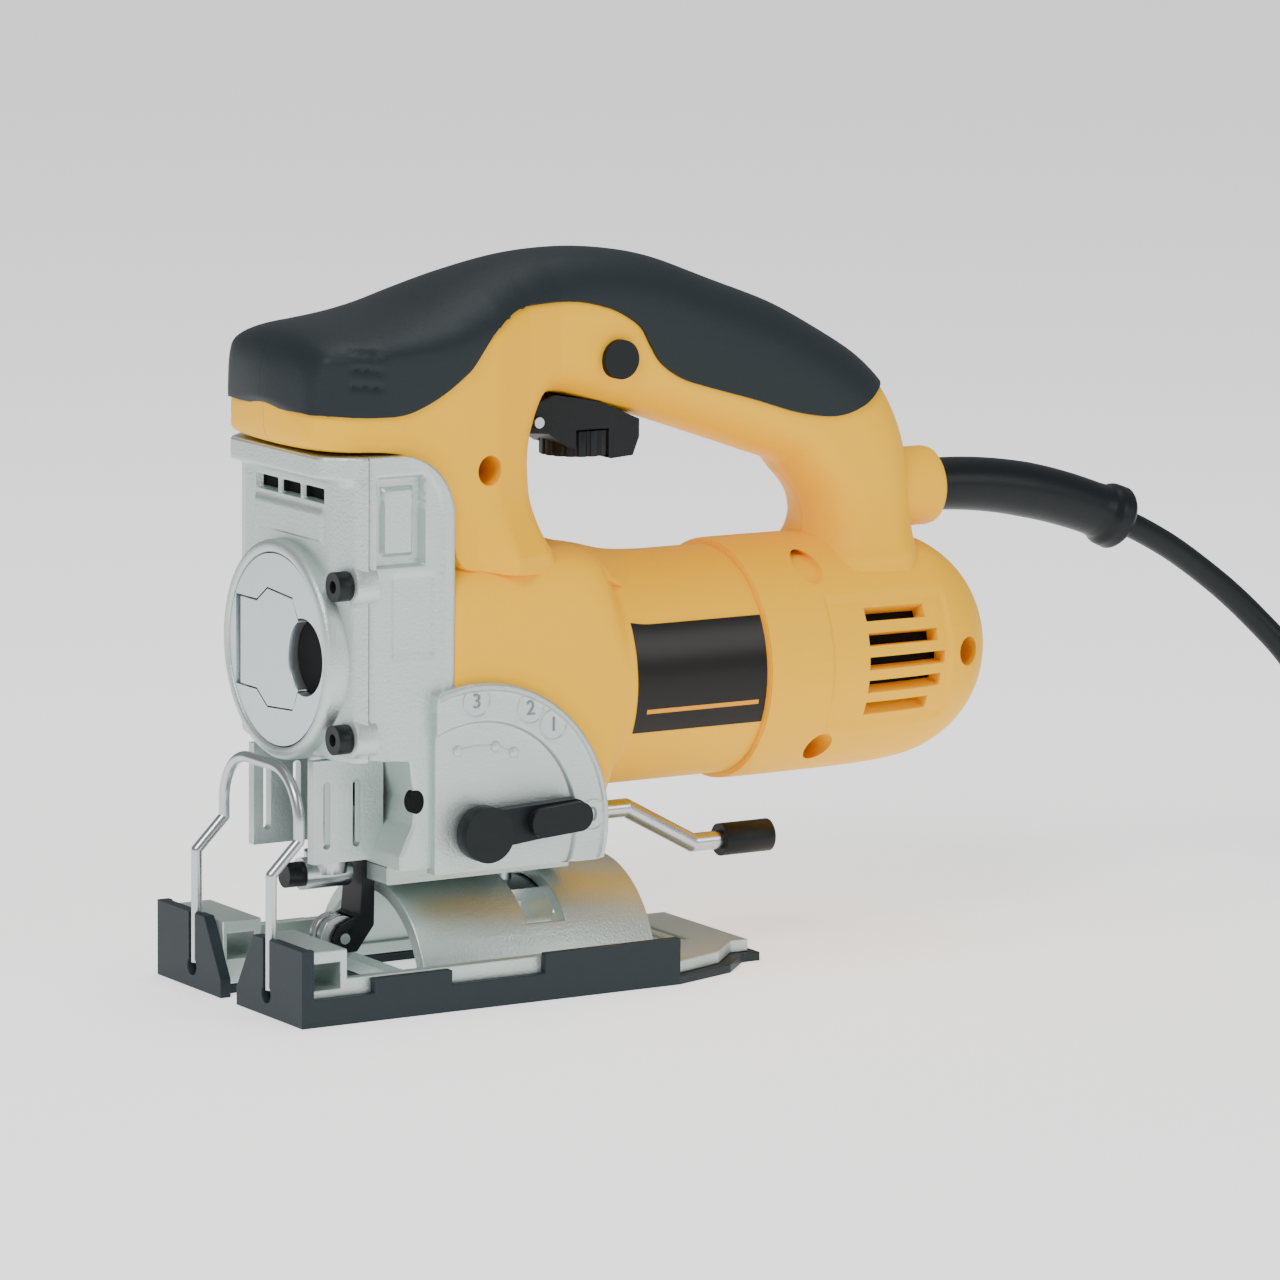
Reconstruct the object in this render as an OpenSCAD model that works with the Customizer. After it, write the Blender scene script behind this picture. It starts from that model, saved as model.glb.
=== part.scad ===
// Corded top-handle jigsaw: yellow clamshell with rubber grip, die-cast gear case,
// reciprocating plunger driven by an eccentric gear, and a bevelling shoe.
// Frame: blade line is the Z axis, sole is Z = 0, -X is the cutting direction, +Z is up.

/* [Shoe] */
// Overall width of the shoe, with its plastic cover
shoe_w = 82; // [78:1:96]
// Distance from the blade line to the front edge of the shoe
shoe_front = 30; // [29:1:34]
// Distance from the blade line to the rear end of the straight sides
shoe_straight = 88; // [84:1:100]
// Distance from the blade line to the end of the rear tongue
shoe_rear = 122; // [112:1:140]
// Width of the rear tongue
tongue_w = 44; // [36:1:50]
// Thickness of the plastic sole cover
cover_t = 2.5; // [2:0.1:2.8]
// Top of the cast floor above the sole
shoe_floor = 6; // [5:0.1:6.2]
// Top of the cast side walls above the sole
shoe_wall_top = 12; // [10:0.5:12.5]
// Thickness of the cast side walls
shoe_wall = 3; // [2:0.1:4]
// Width of the blade opening in the shoe
blade_gap = 18; // [12:1:20]
// Rear end of the blade opening
blade_gap_rear = 11; // [9:1:12]
// Width of a fence bar socket along the shoe
fence_w = 8.4; // [7:0.1:9]
// Height of a fence bar socket
fence_h = 7; // [5:0.1:8]

/* [Bevel saddle] */
// Outside radius of the half-round saddle, about the sole line
saddle_r = 30.5; // [29.5:0.1:30.6]
// Wall of the saddle
saddle_wall = 4; // [3:0.1:4.2]
// Front end of the saddle
saddle_x0 = 14; // [13:1:20]
// Rear end of the saddle
saddle_x1 = 87; // [80:1:88]
// Bevel to each side, in degrees
bevel = 45; // [15:1:45]

/* [Finger guard] */
// Diameter of the guard wire
guard_d = 3; // [2.5:0.1:3.2]
// Distance between the two legs
guard_w = 42; // [40:1:46]
// Height of the arch above the sole
guard_top = 65; // [56:0.5:66]

/* [Drive] */
// Stroke of the plunger
stroke = 26; // [18:1:26]
// Diameter of the plunger rod
plunger_d = 10; // [8:0.5:11]
// Module of the gear teeth
gear_module = 1.25; // [1.25:0.01:1.26]
// Teeth of the drive gear
gear_teeth = 40; // [40:1:40]
// Teeth of the armature pinion
pinion_teeth = 8; // [8:1:8]
// Face width of the drive gear
gear_w = 7; // [5:0.5:7.5]
// Diameter of the gear axle
axle_d = 10; // [8:0.5:12]

/* [Motor] */
// Outside diameter of the motor barrel
motor_d = 64; // [63:1:66]
// Height of the armature axis above the sole
motor_z = 82; // [81:1:84]
// Diameter of the armature shaft
shaft_d = 8; // [6:0.5:8]
// Outside diameter of the stator
stator_d = 56; // [48:1:57]
// Bore of the stator
stator_bore = 35; // [33:0.5:36]
// Length of the stator stack
stator_l = 48; // [38:1:50]
// Air gap between rotor and stator
air_gap = 0.6; // [0.4:0.1:1]

/* [Housing] */
// Wall of the plastic shells
wall = 2.6; // [2:0.1:3.2]
// Half-width of the handle bar
handle_hw = 17; // [15.5:0.5:20]
// Half-width of the head and front body
head_hw = 30; // [29:0.5:33]
// Top of the handle above the sole
handle_top = 199; // [192:1:215]
// Thickness of the rubber overmould
grip_t = 2; // [1.5:0.1:2.4]

/* [Gear case] */
// Half-width of the gear case
case_hw = 33; // [32:0.5:35]
// Wall of the gear case
case_wall = 3; // [2.5:0.1:3.5]
// Top of the gear case
case_top = 150; // [149:0.5:154]
// Radius of the round front boss
boss_r = 30; // [28:0.5:30]
// Height of the round front boss above the sole
boss_z = 95; // [95:0.5:97]
// Radius of the flip knob
knob_r = 26; // [22:0.5:27]
// Radius of the orbit quadrant
quadrant_r = 40.5; // [36:0.5:41]

/* [Cord] */
// Diameter of the mains lead
cord_d = 7.5; // [7:0.1:8]
// Middle diameter of the stored coil
coil_d = 84; // [80:1:90]

/* [Fits] */
// Radial running clearance of shafts in their bores
run = 0.05; // [0.02:0.01:0.09]
// Gap between pieces that move past each other
gap = 0.4; // [0.3:0.05:0.6]
// Gap between assembled static pieces
seat = 0.05; // [0:0.01:0.1]

/* [Hidden] */
$fn = 48;
eps = 0.01;

yellow = [0.97, 0.70, 0.06];
charcoal = [0.16, 0.20, 0.23];
black = [0.10, 0.12, 0.13];
alloy = [0.76, 0.80, 0.82];
steel = [0.62, 0.64, 0.66];
copper = [0.72, 0.43, 0.24];
bronze = [0.66, 0.52, 0.30];

// Shoe
shoe_hw = shoe_w / 2;
plate_inset = 2.4;
plate_hw = shoe_hw - plate_inset;
plate_front = -shoe_front + guard_d + 0.2;
tongue_hw = tongue_w / 2;
block_top = 21;
block_rear = -15;
slot_hw = 4.4;
fence_z = 13;
fence_x = (plate_front + block_rear) / 2 - 0.4;
saddle_bore = saddle_r - saddle_wall;
stud_x = 55;
stud_r = 3;
slot_half = 6;
slot_angle = bevel + 9;

// Body clearances about the bevel axis
sweep_r = 46;
rail_bottom = saddle_r + gap;
rail_top = rail_bottom + 5;
rail_hw = 16.5;
rail_x1 = 67;

// Drive train
throw_r = stroke / 2;
centre_distance = gear_module * (gear_teeth + pinion_teeth) / 2;
gear_z = motor_z + centre_distance;
gear_x0 = 12;
gear_x1 = gear_x0 + gear_w;
pin_r = 4.5;
yoke_x0 = 4;
yoke_x1 = 9;
yoke_z = gear_z - throw_r;
rod_r = plunger_d / 2;
clamp_z = 33;
nose_bottom = 39;
nose_top = 67;
nose_hw = 18;
nose_x0 = -14;
nose_x1 = 7;
lower_bush_z = nose_top + 2;
bush_l = 10;
bush_r = rod_r + 2.5;
upper_bush_z = case_top - case_wall - bush_l;

// Motor
motor_r = motor_d / 2;
barrel_x0 = 21;
barrel_x1 = 122;
plate_x = 27;
plate_t = 5;
bearing_r = 11;
bearing_w = 8;
front_bearing_x = plate_x;
stator_x = 62;
rotor_r = stator_bore / 2 - air_gap;
comm_x = 118;
comm_l = 16;
comm_r = 11;
rear_bearing_x = 146;
shaft_x0 = gear_x0;
shaft_x1 = rear_bearing_x + bearing_w;
cup_x1 = 190;
dome_x1 = 206;

// Gear case
case_x0 = -5;
case_x1 = barrel_x0 - seat;
cover_x0 = -12;
ring_x0 = -16;
quadrant_x = 27.6;
quadrant_z = 47;
quadrant_hw = 35.5;
lever_y = quadrant_hw + gap;

// Handle
handle_drop = 199 - handle_top;
trigger_x = 56;
trigger_hw = 9;
dial_x = 78;
dial_z = 146;
dial_r = 10;
dial_h = 7;
button_x = 81;
button_z = 170;
button_r = 5.4;
exit_x = 194;
exit_z = 126;
exit_r = 11;

function arc(cx, cy, r, a0, a1, n) =
    [for (i = [0:n]) [cx + r * cos(a0 + (a1 - a0) * i / n), cy + r * sin(a0 + (a1 - a0) * i / n)]];

module rod(p, q, r) {
    v = q - p;
    l = norm(v);
    translate(p) rotate([0, acos(v[2] / l), atan2(v[1], v[0])]) cylinder(r = r, h = l);
}

module along_x(x0, x1, y, z, r) {
    translate([x0, y, z]) rotate([0, 90, 0]) cylinder(r = r, h = x1 - x0);
}

module along_y(y0, y1, x, z, r) {
    translate([x, y0, z]) rotate([-90, 0, 0]) cylinder(r = r, h = y1 - y0);
}

module box(x0, x1, y0, y1, z0, z1) {
    translate([x0, y0, z0]) cube([x1 - x0, y1 - y0, z1 - z0]);
}

// Extrudes a side profile, drawn in X and Z, between two Y planes
module slab(y0, y1) {
    translate([0, y1, 0]) rotate([90, 0, 0]) linear_extrude(height = y1 - y0) children();
}

// ---- Shoe ----

// Plan outline of the shoe, grown outwards by d
module shoe_plan(d) {
    polygon([
        [plate_front - d, -plate_hw - d],
        [shoe_straight, -plate_hw - d],
        [shoe_rear - 16 + d, -tongue_hw - 10 - d],
        [shoe_rear - 6 + d, -tongue_hw - d],
        [shoe_rear + d, -tongue_hw - d],
        [shoe_rear + d, tongue_hw + d],
        [shoe_rear - 6 + d, tongue_hw + d],
        [shoe_rear - 16 + d, tongue_hw + 10 + d],
        [shoe_straight, plate_hw + d],
        [plate_front - d, plate_hw + d]
    ]);
}

module blade_cut(z0, z1) {
    box(-shoe_front - 1, blade_gap_rear, -blade_gap / 2, blade_gap / 2, z0, z1);
    // Throat that the guide roller clears at full bevel
    box(block_rear, blade_gap_rear + 1.5, -17, 17, z0, z1);
}

module fence_cut() {
    box(fence_x - fence_w / 2, fence_x + fence_w / 2, -shoe_hw - 1, shoe_hw + 1,
        fence_z - fence_h / 2, fence_z + fence_h / 2);
}

module saddle() {
    difference() {
        along_x(saddle_x0, saddle_x1, 0, 0, saddle_r);
        along_x(saddle_x0 - 1, saddle_x1 + 1, 0, 0, saddle_bore);
        box(saddle_x0 - 1, saddle_x1 + 1, -saddle_r - 1, saddle_r + 1, -saddle_r - 1, cover_t);
        bevel_slot();
    }
}

// Slot across the saddle that the clamp stud passes through at every bevel angle
module bevel_slot() {
    translate([stud_x - slot_half, 0, 0]) rotate([90, 0, 90])
        linear_extrude(height = 2 * slot_half)
            polygon(concat([[0, 0]], arc(0, 0, saddle_r + 6, 90 - slot_angle, 90 + slot_angle, 10)));
}

module shoe_plate() {
    color(alloy) difference() {
        union() {
            translate([0, 0, cover_t]) linear_extrude(height = shoe_floor - cover_t) shoe_plan(0);
            for (s = [-1, 1]) {
                box(block_rear, shoe_straight, s > 0 ? plate_hw - shoe_wall : -plate_hw,
                    s > 0 ? plate_hw : -plate_hw + shoe_wall, cover_t, shoe_wall_top);
                box(plate_front, block_rear, s > 0 ? blade_gap / 2 : -plate_hw,
                    s > 0 ? plate_hw : -blade_gap / 2, cover_t, block_top - 1);
            }
            saddle();
        }
        blade_cut(-1, block_top + 2);
        fence_cut();
        box(saddle_x0 + 4, saddle_x1 - 4, -saddle_bore + 2, saddle_bore - 2, -1, shoe_floor + 0.5);
        for (i = [0:3])
            box(saddle_x1 + 4 + 5 * i, saddle_x1 + 6 + 5 * i, -14, 14, shoe_floor - 1.5, shoe_floor + 1);
    }
}

module skirt_tab(x0, x1, top) {
    for (s = [-1, 1])
        box(x0, x1, s > 0 ? plate_hw + seat : -shoe_hw, s > 0 ? shoe_hw : -plate_hw - seat, 0, top);
}

// Front wall of the cover, open in a V over the blade slot
module front_wall() {
    for (s = [-1, 1])
        translate([-shoe_front, 0, 0]) rotate([90, 0, 90])
            linear_extrude(height = plate_front - seat + shoe_front)
                polygon([
                    [s * shoe_hw, 0], [s * slot_hw, 0], [s * slot_hw, 5],
                    [s * (slot_hw + 9.5), block_top], [s * shoe_hw, block_top]
                ]);
}

module shoe_cover() {
    color(charcoal) difference() {
        union() {
            difference() {
                linear_extrude(height = cover_t - seat) shoe_plan(plate_inset);
                blade_cut(-1, cover_t + 1);
            }
            front_wall();
            skirt_tab(-shoe_front, plate_front + 0.4, block_top);
            skirt_tab(plate_front, shoe_straight, 7.5);
            skirt_tab(-8, 16, 11.5);
            skirt_tab(45, shoe_straight, 13);
        }
        for (s = [-1, 1])
            guard_socket(s * guard_w / 2);
        box(saddle_x0 + 4, saddle_x1 - 4, -saddle_bore + 2, saddle_bore - 2, -1, cover_t + 1);
    }
}

guard_x = -shoe_front + guard_d / 2 + 0.05;
guard_foot = 7;

// Keyhole slot in the front wall that takes one leg of the guard
module guard_socket(y) {
    slot = guard_d / 2 + 0.15;
    box(-shoe_front - 1, plate_front + 1, y - slot, y + slot, guard_foot - 2, block_top + 1);
    along_x(-shoe_front - 1, plate_front + 1, y, guard_foot - 1, slot + 0.8);
}

module finger_guard() {
    r = guard_d / 2;
    half = guard_w / 2;
    knee = 38;
    back = 8.5;
    bend = 14;
    top_x = guard_x + back;
    corner_z = guard_top - bend;
    color(steel) union() {
        for (s = [-1, 1]) {
            rod([guard_x, s * half, guard_foot], [guard_x, s * half, knee], r);
            translate([guard_x, s * half, knee]) sphere(r = r);
            rod([guard_x, s * half, knee], [top_x, s * half, knee + back], r);
            translate([top_x, s * half, knee + back]) sphere(r = r);
            rod([top_x, s * half, knee + back], [top_x, s * half, corner_z], r);
            translate([top_x, s * (half - bend), corner_z]) rotate([90, 0, 90])
                rotate_extrude(angle = s * 90, start = s > 0 ? 0 : 180) translate([bend, 0]) circle(r = r);
        }
        rod([top_x, -half + bend, guard_top], [top_x, half - bend, guard_top], r);
    }
}

// ---- Shoe clamp ----

module shoe_clamp() {
    color(steel) difference() {
        intersection() {
            along_x(stud_x - 14, stud_x + 14, 0, 0, saddle_bore - gap);
            box(stud_x - 14, stud_x + 14, -9.5, 9.5, saddle_bore - 5.5, saddle_bore);
        }
        translate([stud_x, 0, 0]) cylinder(r = stud_r + seat, h = saddle_r);
    }
}

module clamp_stud() {
    color(steel) union() {
        translate([stud_x, 0, saddle_bore - 8.5]) cylinder(r = stud_r, h = rail_top + 12 - saddle_bore + 8.5);
        translate([stud_x, 0, saddle_bore - 8.5]) cylinder(r = 5.5, h = 3 - seat);
    }
}

lever_z = rail_top + 6;
lever_end = 142;
lever_low = 30;
lever_knee = 95;
lever_heel = 117;
lever_r = 2.6;

module bevel_lever() {
    color(steel) union() {
        difference() {
            translate([stud_x, 0, lever_z - 3]) cylinder(r = 7, h = 6);
            translate([stud_x, 0, lever_z - 5]) cylinder(r = stud_r + run, h = 10);
        }
        rod([stud_x + 6, 0, lever_z], [lever_knee, 0, lever_z], lever_r);
        translate([lever_knee, 0, lever_z]) sphere(r = lever_r + 0.03);
        rod([lever_knee, 0, lever_z], [lever_heel, 0, lever_low], lever_r);
        translate([lever_heel, 0, lever_low]) sphere(r = lever_r + 0.03);
        rod([lever_heel, 0, lever_low], [lever_end - 6, 0, lever_low], lever_r);
    }
}

module lever_tip() {
    color(black) difference() {
        along_x(lever_end - 16, lever_end, 0, lever_low, 4.6);
        along_x(lever_end - 17, lever_end - 6, 0, lever_low, lever_r);
    }
}

// ---- Gear case ----

module sweep_cut() {
    along_x(-60, 160, 0, 0, sweep_r);
}

module case_profile() {
    polygon(concat(
        [[nose_x1 + 0.5 + seat, nose_bottom - 4], [nose_x1 + 0.5 + seat, nose_top + 1],
         [case_x0, nose_top + 1], [case_x0, case_top]],
        arc(4, case_top - corner_r, corner_r, 90, 0, 8),
        [[case_x1, nose_bottom - 4]]
    ));
}

module quadrant_profile(r) {
    intersection() {
        translate([quadrant_x, quadrant_z]) circle(r = r);
        translate([10, 34]) square([90, 70]);
    }
}

pivot_x = 12;
pivot_z = 53;
pivot_r = 2.5;
pivot_hw = 14;
screw_y = 28.5;
screw_zs = [74.5, 115.7];

module gear_case() {
    color(alloy) difference() {
        union() {
            difference() {
                union() {
                    slab(-case_hw, case_hw) case_profile();
                    slab(-quadrant_hw, quadrant_hw) quadrant_profile(quadrant_r);
                }
                sweep_cut();
                // Gear room, open to the front and the rear
                box(case_x0 - 1, case_x1 + 1, -case_hw + case_wall, case_hw - case_wall,
                    lower_bush_z + bush_l + 1, case_top - case_wall);
                // Room behind the orbit quadrant
                box(nose_x1 + 2, quadrant_x + quadrant_r + 1, -quadrant_hw + 5, quadrant_hw - 5,
                    sweep_r + 1, gear_z);
                // Recess that the orbit lever swings in
                slab(-quadrant_hw - 1, -quadrant_hw + 2) intersection() {
                    translate([quadrant_x, quadrant_z]) circle(r = 33.5);
                    translate([quadrant_x - 9, quadrant_z - 9]) square([50, 50]);
                }
            }
            // Rail that the saddle bears against, with its neck
            box(10, rail_x1, -rail_hw, rail_hw, rail_bottom, rail_top);
            box(18, stud_x - 9, -12, 12, rail_top - eps, sweep_r + 2);
            // Seat of the upper bushing and bosses of the roller pivot
            translate([0, 0, upper_bush_z]) intersection() {
                cylinder(r = bush_r + 3, h = bush_l + 1);
                box(case_x0, 12, -20, 20, -1, bush_l + 2);
            }
            for (s = [-1, 1])
                along_y(s > 0 ? 8 : -pivot_hw, s > 0 ? pivot_hw : -8, pivot_x, pivot_z, pivot_r + 1.9);
            box(nose_x1 + 1, nose_x1 + 4, -quadrant_hw + 4, -8, pivot_z - 3, pivot_z + 3);
            box(nose_x1 + 1, nose_x1 + 4, 8, quadrant_hw - 4, pivot_z - 3, pivot_z + 3);
            // Boss of the orbit shaft
            along_y(-quadrant_hw + 4, -18, quadrant_x, quadrant_z + 2, 7);
        }
        cylinder(r = bush_r + seat, h = case_top + 1);
        // Slot for the roller arm
        box(nose_x1 - 3, saddle_x0 + 5, -6.5, 6.5, 20, lower_bush_z - 1);
        // Lever pocket above the rail
        box(stud_x - 9, rail_x1 + 10, -11, 11, rail_top + 2, sweep_r + 4);
        translate([stud_x, 0, 0]) cylinder(r = stud_r + seat, h = rail_top + 20);
        along_y(-quadrant_hw - 1, -10, quadrant_x, quadrant_z, shaft_bore);
        along_y(-18, -10, quadrant_x, quadrant_z, 6);
        along_y(-quadrant_hw, quadrant_hw, pivot_x, pivot_z, pivot_r + seat);
        for (z = screw_zs)
            along_x(case_x0 - 1, case_x0 + 11, -screw_y, z, 2.05);
    }
}

shaft_bore = 4 + run;

module ring_boss(x0, x1, r) {
    along_x(x0, x1, 0, boss_z, r);
}

module gear_case_cover() {
    color(alloy) difference() {
        union() {
            box(cover_x0, case_x0 - seat, -24, 24, nose_top + 1, case_top - 8);
            box(cover_x0 + 3, case_x0 - seat, -case_hw, case_hw, nose_top + 1, case_top - 8);
            translate([0, 0, case_top - 8]) linear_extrude(height = 8)
                polygon([[ring_x0, -23], [case_x0 - seat, -case_hw], [case_x0 - seat, case_hw], [ring_x0, 23]]);
            ring_boss(ring_x0, case_x0 - seat, boss_r);
            for (z = screw_zs)
                along_x(cover_x0 + 2.5, case_x0 - seat, -screw_y, z, 5);
        }
        // Knob seat
        ring_boss(ring_x0 - 1, knob_x1 + gap, knob_r + gap);
        ring_boss(ring_x0 - 1, ring_x0 + 9.3, 5 + run);
        // Room for the plunger head and the lower bushing
        box(case_x0 - 2, case_x0, -20, 20, lower_bush_z + bush_l, case_top - 12);
        translate([0, 0, nose_top]) cylinder(r = bush_r + seat, h = case_top - nose_top - case_wall + 1);
        for (z = screw_zs)
            along_x(cover_x0 - 1, case_x0, -screw_y, z, 2.05);
        // Cooling vents under the flange
        for (y = [-16, -5, 6])
            box(cover_x0 - 1, case_x0, y, y + 9, case_top - 15.5, case_top - 12.5);
    }
}

module gear_case_screws() {
    color(black)
        for (z = screw_zs)
            difference() {
                union() {
                    along_x(cover_x0 - 2, cover_x0 + 2.5 - seat, -screw_y, z, 4);
                    along_x(cover_x0 + 2, case_x0 + 10, -screw_y, z, 2);
                }
                along_x(cover_x0 - 3, cover_x0, -screw_y, z, 1.7);
            }
}

slit = 1.2;

module nose_guide() {
    t = 3;
    color(alloy) difference() {
        box(nose_x0, nose_x1 + 0.5, -nose_hw, nose_hw, nose_bottom, nose_top);
        box(nose_x0 - 1, nose_x1 - 0.6, -nose_hw + t, nose_hw - t, nose_bottom - 1, nose_top + 1);
        box(0, nose_x1 + 1, -8, 8, nose_bottom - 1, nose_top - 4);
        ring_boss(ring_x0 - 1, case_x0, boss_r + seat);
        for (x = [-9.9, -0.7]) {
            box(x - slit, x + slit, -nose_hw - 1, nose_hw + 1, nose_bottom + 5, nose_top - 7);
            for (z = [nose_bottom + 5, nose_top - 7])
                along_y(-nose_hw - 1, nose_hw + 1, x, z, slit);
        }
    }
}

// ---- Flip knob of the blade clamp ----

hinge_y = 20;
hinge_r = 1.1;
knuckle_r = 1.9;
knob_x0 = ring_x0 + 0.6;
knob_x1 = knob_x0 + 6;
pocket = 4.6;
tab_t = 4;
hinge_x = knob_x0 + 2.1;
tab_h = 15;
finger_y = -15;
finger_r = 10.5;

module tab_outline(d) {
    polygon([
        [finger_y + 2 - d, -7 - d], [-9, -tab_h - d], [5, -tab_h - 1 - d], [11, -tab_h + 3 - d],
        [hinge_y + d, -tab_h + 3 - d], [hinge_y + d, tab_h - 3 + d], [11, tab_h - 3 + d],
        [5, tab_h + 1 + d], [-9, tab_h + d], [finger_y + 2 - d, 7 + d]
    ]);
}

// Places a drawing in Y and Z at the knob's centre, extruded along X
module on_knob(x0, x1) {
    translate([x0, 0, boss_z]) rotate([90, 0, 90]) linear_extrude(height = x1 - x0) children();
}

module release_knob() {
    color(alloy) difference() {
        union() {
            ring_boss(knob_x0, knob_x1, knob_r);
            ring_boss(knob_x1 - eps, ring_x0 + 8.9, 5);
        }
        on_knob(knob_x0 - 1, knob_x0 + pocket) tab_outline(gap);
        box(knob_x0 - 1, knob_x0 + pocket, hinge_y - 1, hinge_y + 2.6,
            boss_z - tab_h + 2.6, boss_z + tab_h - 2.6);
        on_knob(knob_x0 - 1, knob_x0 + pocket) translate([finger_y, 0]) circle(r = finger_r);
        translate([hinge_x, hinge_y, boss_z - 14]) cylinder(r = hinge_r + seat, h = 28);
    }
}

module knob_tab() {
    color(alloy) difference() {
        union() {
            on_knob(knob_x0, knob_x0 + tab_t) tab_outline(0);
            translate([hinge_x, hinge_y, boss_z - tab_h + 3]) cylinder(r = knuckle_r, h = 2 * tab_h - 6);
        }
        on_knob(knob_x0 - 1, knob_x1) translate([finger_y - 2, 0]) circle(r = finger_r);
        translate([hinge_x, hinge_y, boss_z - 20]) cylinder(r = hinge_r + run, h = 40);
    }
}

module knob_hinge_pin() {
    color(steel) translate([hinge_x, hinge_y, boss_z - 14 + seat]) cylinder(r = hinge_r, h = 28 - 2 * seat);
}

// ---- Plunger, blade clamp and roller ----

rod_top = upper_bush_z + bush_l - 2;

module plunger() {
    color(steel) difference() {
        union() {
            translate([0, 0, rod_foot]) cylinder(r = rod_r, h = rod_top - rod_foot);
            box(rod_r - 2, yoke_x1, -20, 20, yoke_z - 8, yoke_z + 8);
        }
        box(rod_r + 0.5, yoke_x1 + 1, -18, 18, yoke_z - pin_r - 0.2, yoke_z + pin_r + 0.2);
    }
}

module bushing(z) {
    translate([0, 0, z]) difference() {
        cylinder(r = bush_r, h = bush_l);
        translate([0, 0, -1]) cylinder(r = rod_r + run, h = bush_l + 2);
    }
}

module lower_bushing() {
    color(bronze) bushing(lower_bush_z);
}

module upper_bushing() {
    color(bronze) bushing(upper_bush_z);
}

collar_h = 5.8;
rod_foot = clamp_z + 2.3;

module blade_clamp() {
    color(steel) difference() {
        union() {
            along_x(-8, 6, 0, clamp_z, 4.4);
            translate([0, 0, clamp_z]) cylinder(r = rod_r + 1, h = collar_h);
        }
        translate([0, 0, rod_foot]) cylinder(r = rod_r, h = collar_h);
        // Slot that takes the blade's shank
        box(-4.5, 4.5, -0.8, 0.8, clamp_z - 6, clamp_z + 3);
        along_x(-9, -2, 0, clamp_z, 2);
    }
}

module clamp_screw() {
    color(black) union() {
        along_x(-13, -8 - seat, 0, clamp_z, 3.4);
        along_x(-9, -4.6, 0, clamp_z, 2);
    }
}

roller_x = 2.7;
roller_z = 15;
roller_r = 6;
roller_w = 7;
arm_hw = 5.5;

module roller_arm() {
    color(charcoal) difference() {
        union() {
            slab(-arm_hw, arm_hw) polygon([
                [pivot_x - 3, pivot_z], [pivot_x + 1, pivot_z - 5], [12.2, 34], [12, 18],
                [roller_x + 4, roller_z - 4], [roller_x - 2, roller_z - 4], [roller_x - 3, roller_z],
                [roller_x - 1, roller_z + 3.5], [7.6, 21], [8.6, 34]
            ]);
            along_y(-arm_hw, arm_hw, pivot_x, pivot_z, pivot_r + 2);
        }
        // Fork gap for the roller
        slab(-roller_w / 2 - 0.3, roller_w / 2 + 0.3)
            translate([roller_x, roller_z]) circle(r = roller_r + 0.6);
        slab(-roller_w / 2 - 0.3, roller_w / 2 + 0.3)
            translate([roller_x - 12, roller_z - 12]) square([12, 19]);
        along_y(-20, 20, pivot_x, pivot_z, pivot_r + run);
        along_y(-20, 20, roller_x, roller_z, 1.5);
    }
}

module roller_pivot() {
    color(steel) along_y(-pivot_hw, pivot_hw, pivot_x, pivot_z, pivot_r);
}

module guide_roller() {
    groove = 1.6;
    color(steel) translate([roller_x, 0, roller_z]) rotate([90, 0, 0])
        rotate_extrude() polygon([
            [1.5 + run, -roller_w / 2], [roller_r, -roller_w / 2], [roller_r, -groove / 2],
            [roller_r - 2.2, -groove / 4], [roller_r - 2.2, groove / 4], [roller_r, groove / 2],
            [roller_r, roller_w / 2], [1.5 + run, roller_w / 2]
        ]);
}

module roller_pin() {
    color(steel) along_y(-arm_hw - 0.6, arm_hw + 0.6, roller_x, roller_z, 1.5);
}

// ---- Orbit control ----

orbit_arm = 31;

module orbit_lever() {
    color(black) difference() {
        union() {
            along_y(-lever_y - 5, -lever_y, quadrant_x, quadrant_z, 7.6);
            slab(-lever_y - 4, -lever_y) hull() {
                translate([quadrant_x, quadrant_z + 1]) circle(r = 5.2);
                translate([quadrant_x + orbit_arm - 4, quadrant_z + 3]) circle(r = 4.4);
            }
            slab(-lever_y - 7, -lever_y - 3) hull() {
                translate([quadrant_x + 16, quadrant_z + 2.2]) circle(r = 4);
                translate([quadrant_x + orbit_arm - 4, quadrant_z + 3]) circle(r = 4);
            }
        }
        along_y(-lever_y - 2, -lever_y + 1, quadrant_x, quadrant_z, 4);
    }
}

module orbit_shaft() {
    color(steel) union() {
        along_y(-lever_y - 2, -14, quadrant_x, quadrant_z, 4);
        along_y(-17.5, -14, quadrant_x, quadrant_z, 5.5);
    }
}

// ---- Drive train ----

// Gear outline with straight-flanked teeth, slightly narrower than half the pitch
module gear_outline(teeth, shift) {
    pitch = gear_module * teeth / 2;
    root = pitch - 1.1 * gear_module;
    tip = pitch + 0.75 * gear_module;
    step = 360 / teeth;
    foot = 0.86 * gear_module / root * 57.3;
    mid = 0.62 * gear_module / pitch * 57.3;
    crest = 0.26 * gear_module / tip * 57.3;
    polygon([for (i = [0:teeth - 1]) for (p = [[root, -foot], [pitch, -mid], [tip, -crest],
        [tip, crest], [pitch, mid], [root, foot]])
        [p[0] * cos(step * (i + shift) + p[1]), p[0] * sin(step * (i + shift) + p[1])]]);
}

module drive_gear() {
    color(steel) difference() {
        union() {
            translate([gear_x0, 0, gear_z]) rotate([90, 0, 90]) linear_extrude(height = gear_w)
                rotate(-90) gear_outline(gear_teeth, 0);
            along_x(gear_x0, gear_x1 + 2, 0, gear_z, axle_d / 2 + 3);
            along_x(yoke_x1 + gap, gear_x0 + 1, 0, gear_z - throw_r, pin_r);
        }
        along_x(yoke_x0, gear_x1 + 5, 0, gear_z, axle_d / 2 + run);
    }
}

module gear_axle() {
    color(steel) along_x(gear_x0, plate_x + plate_t, 0, gear_z, axle_d / 2);
}

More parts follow.
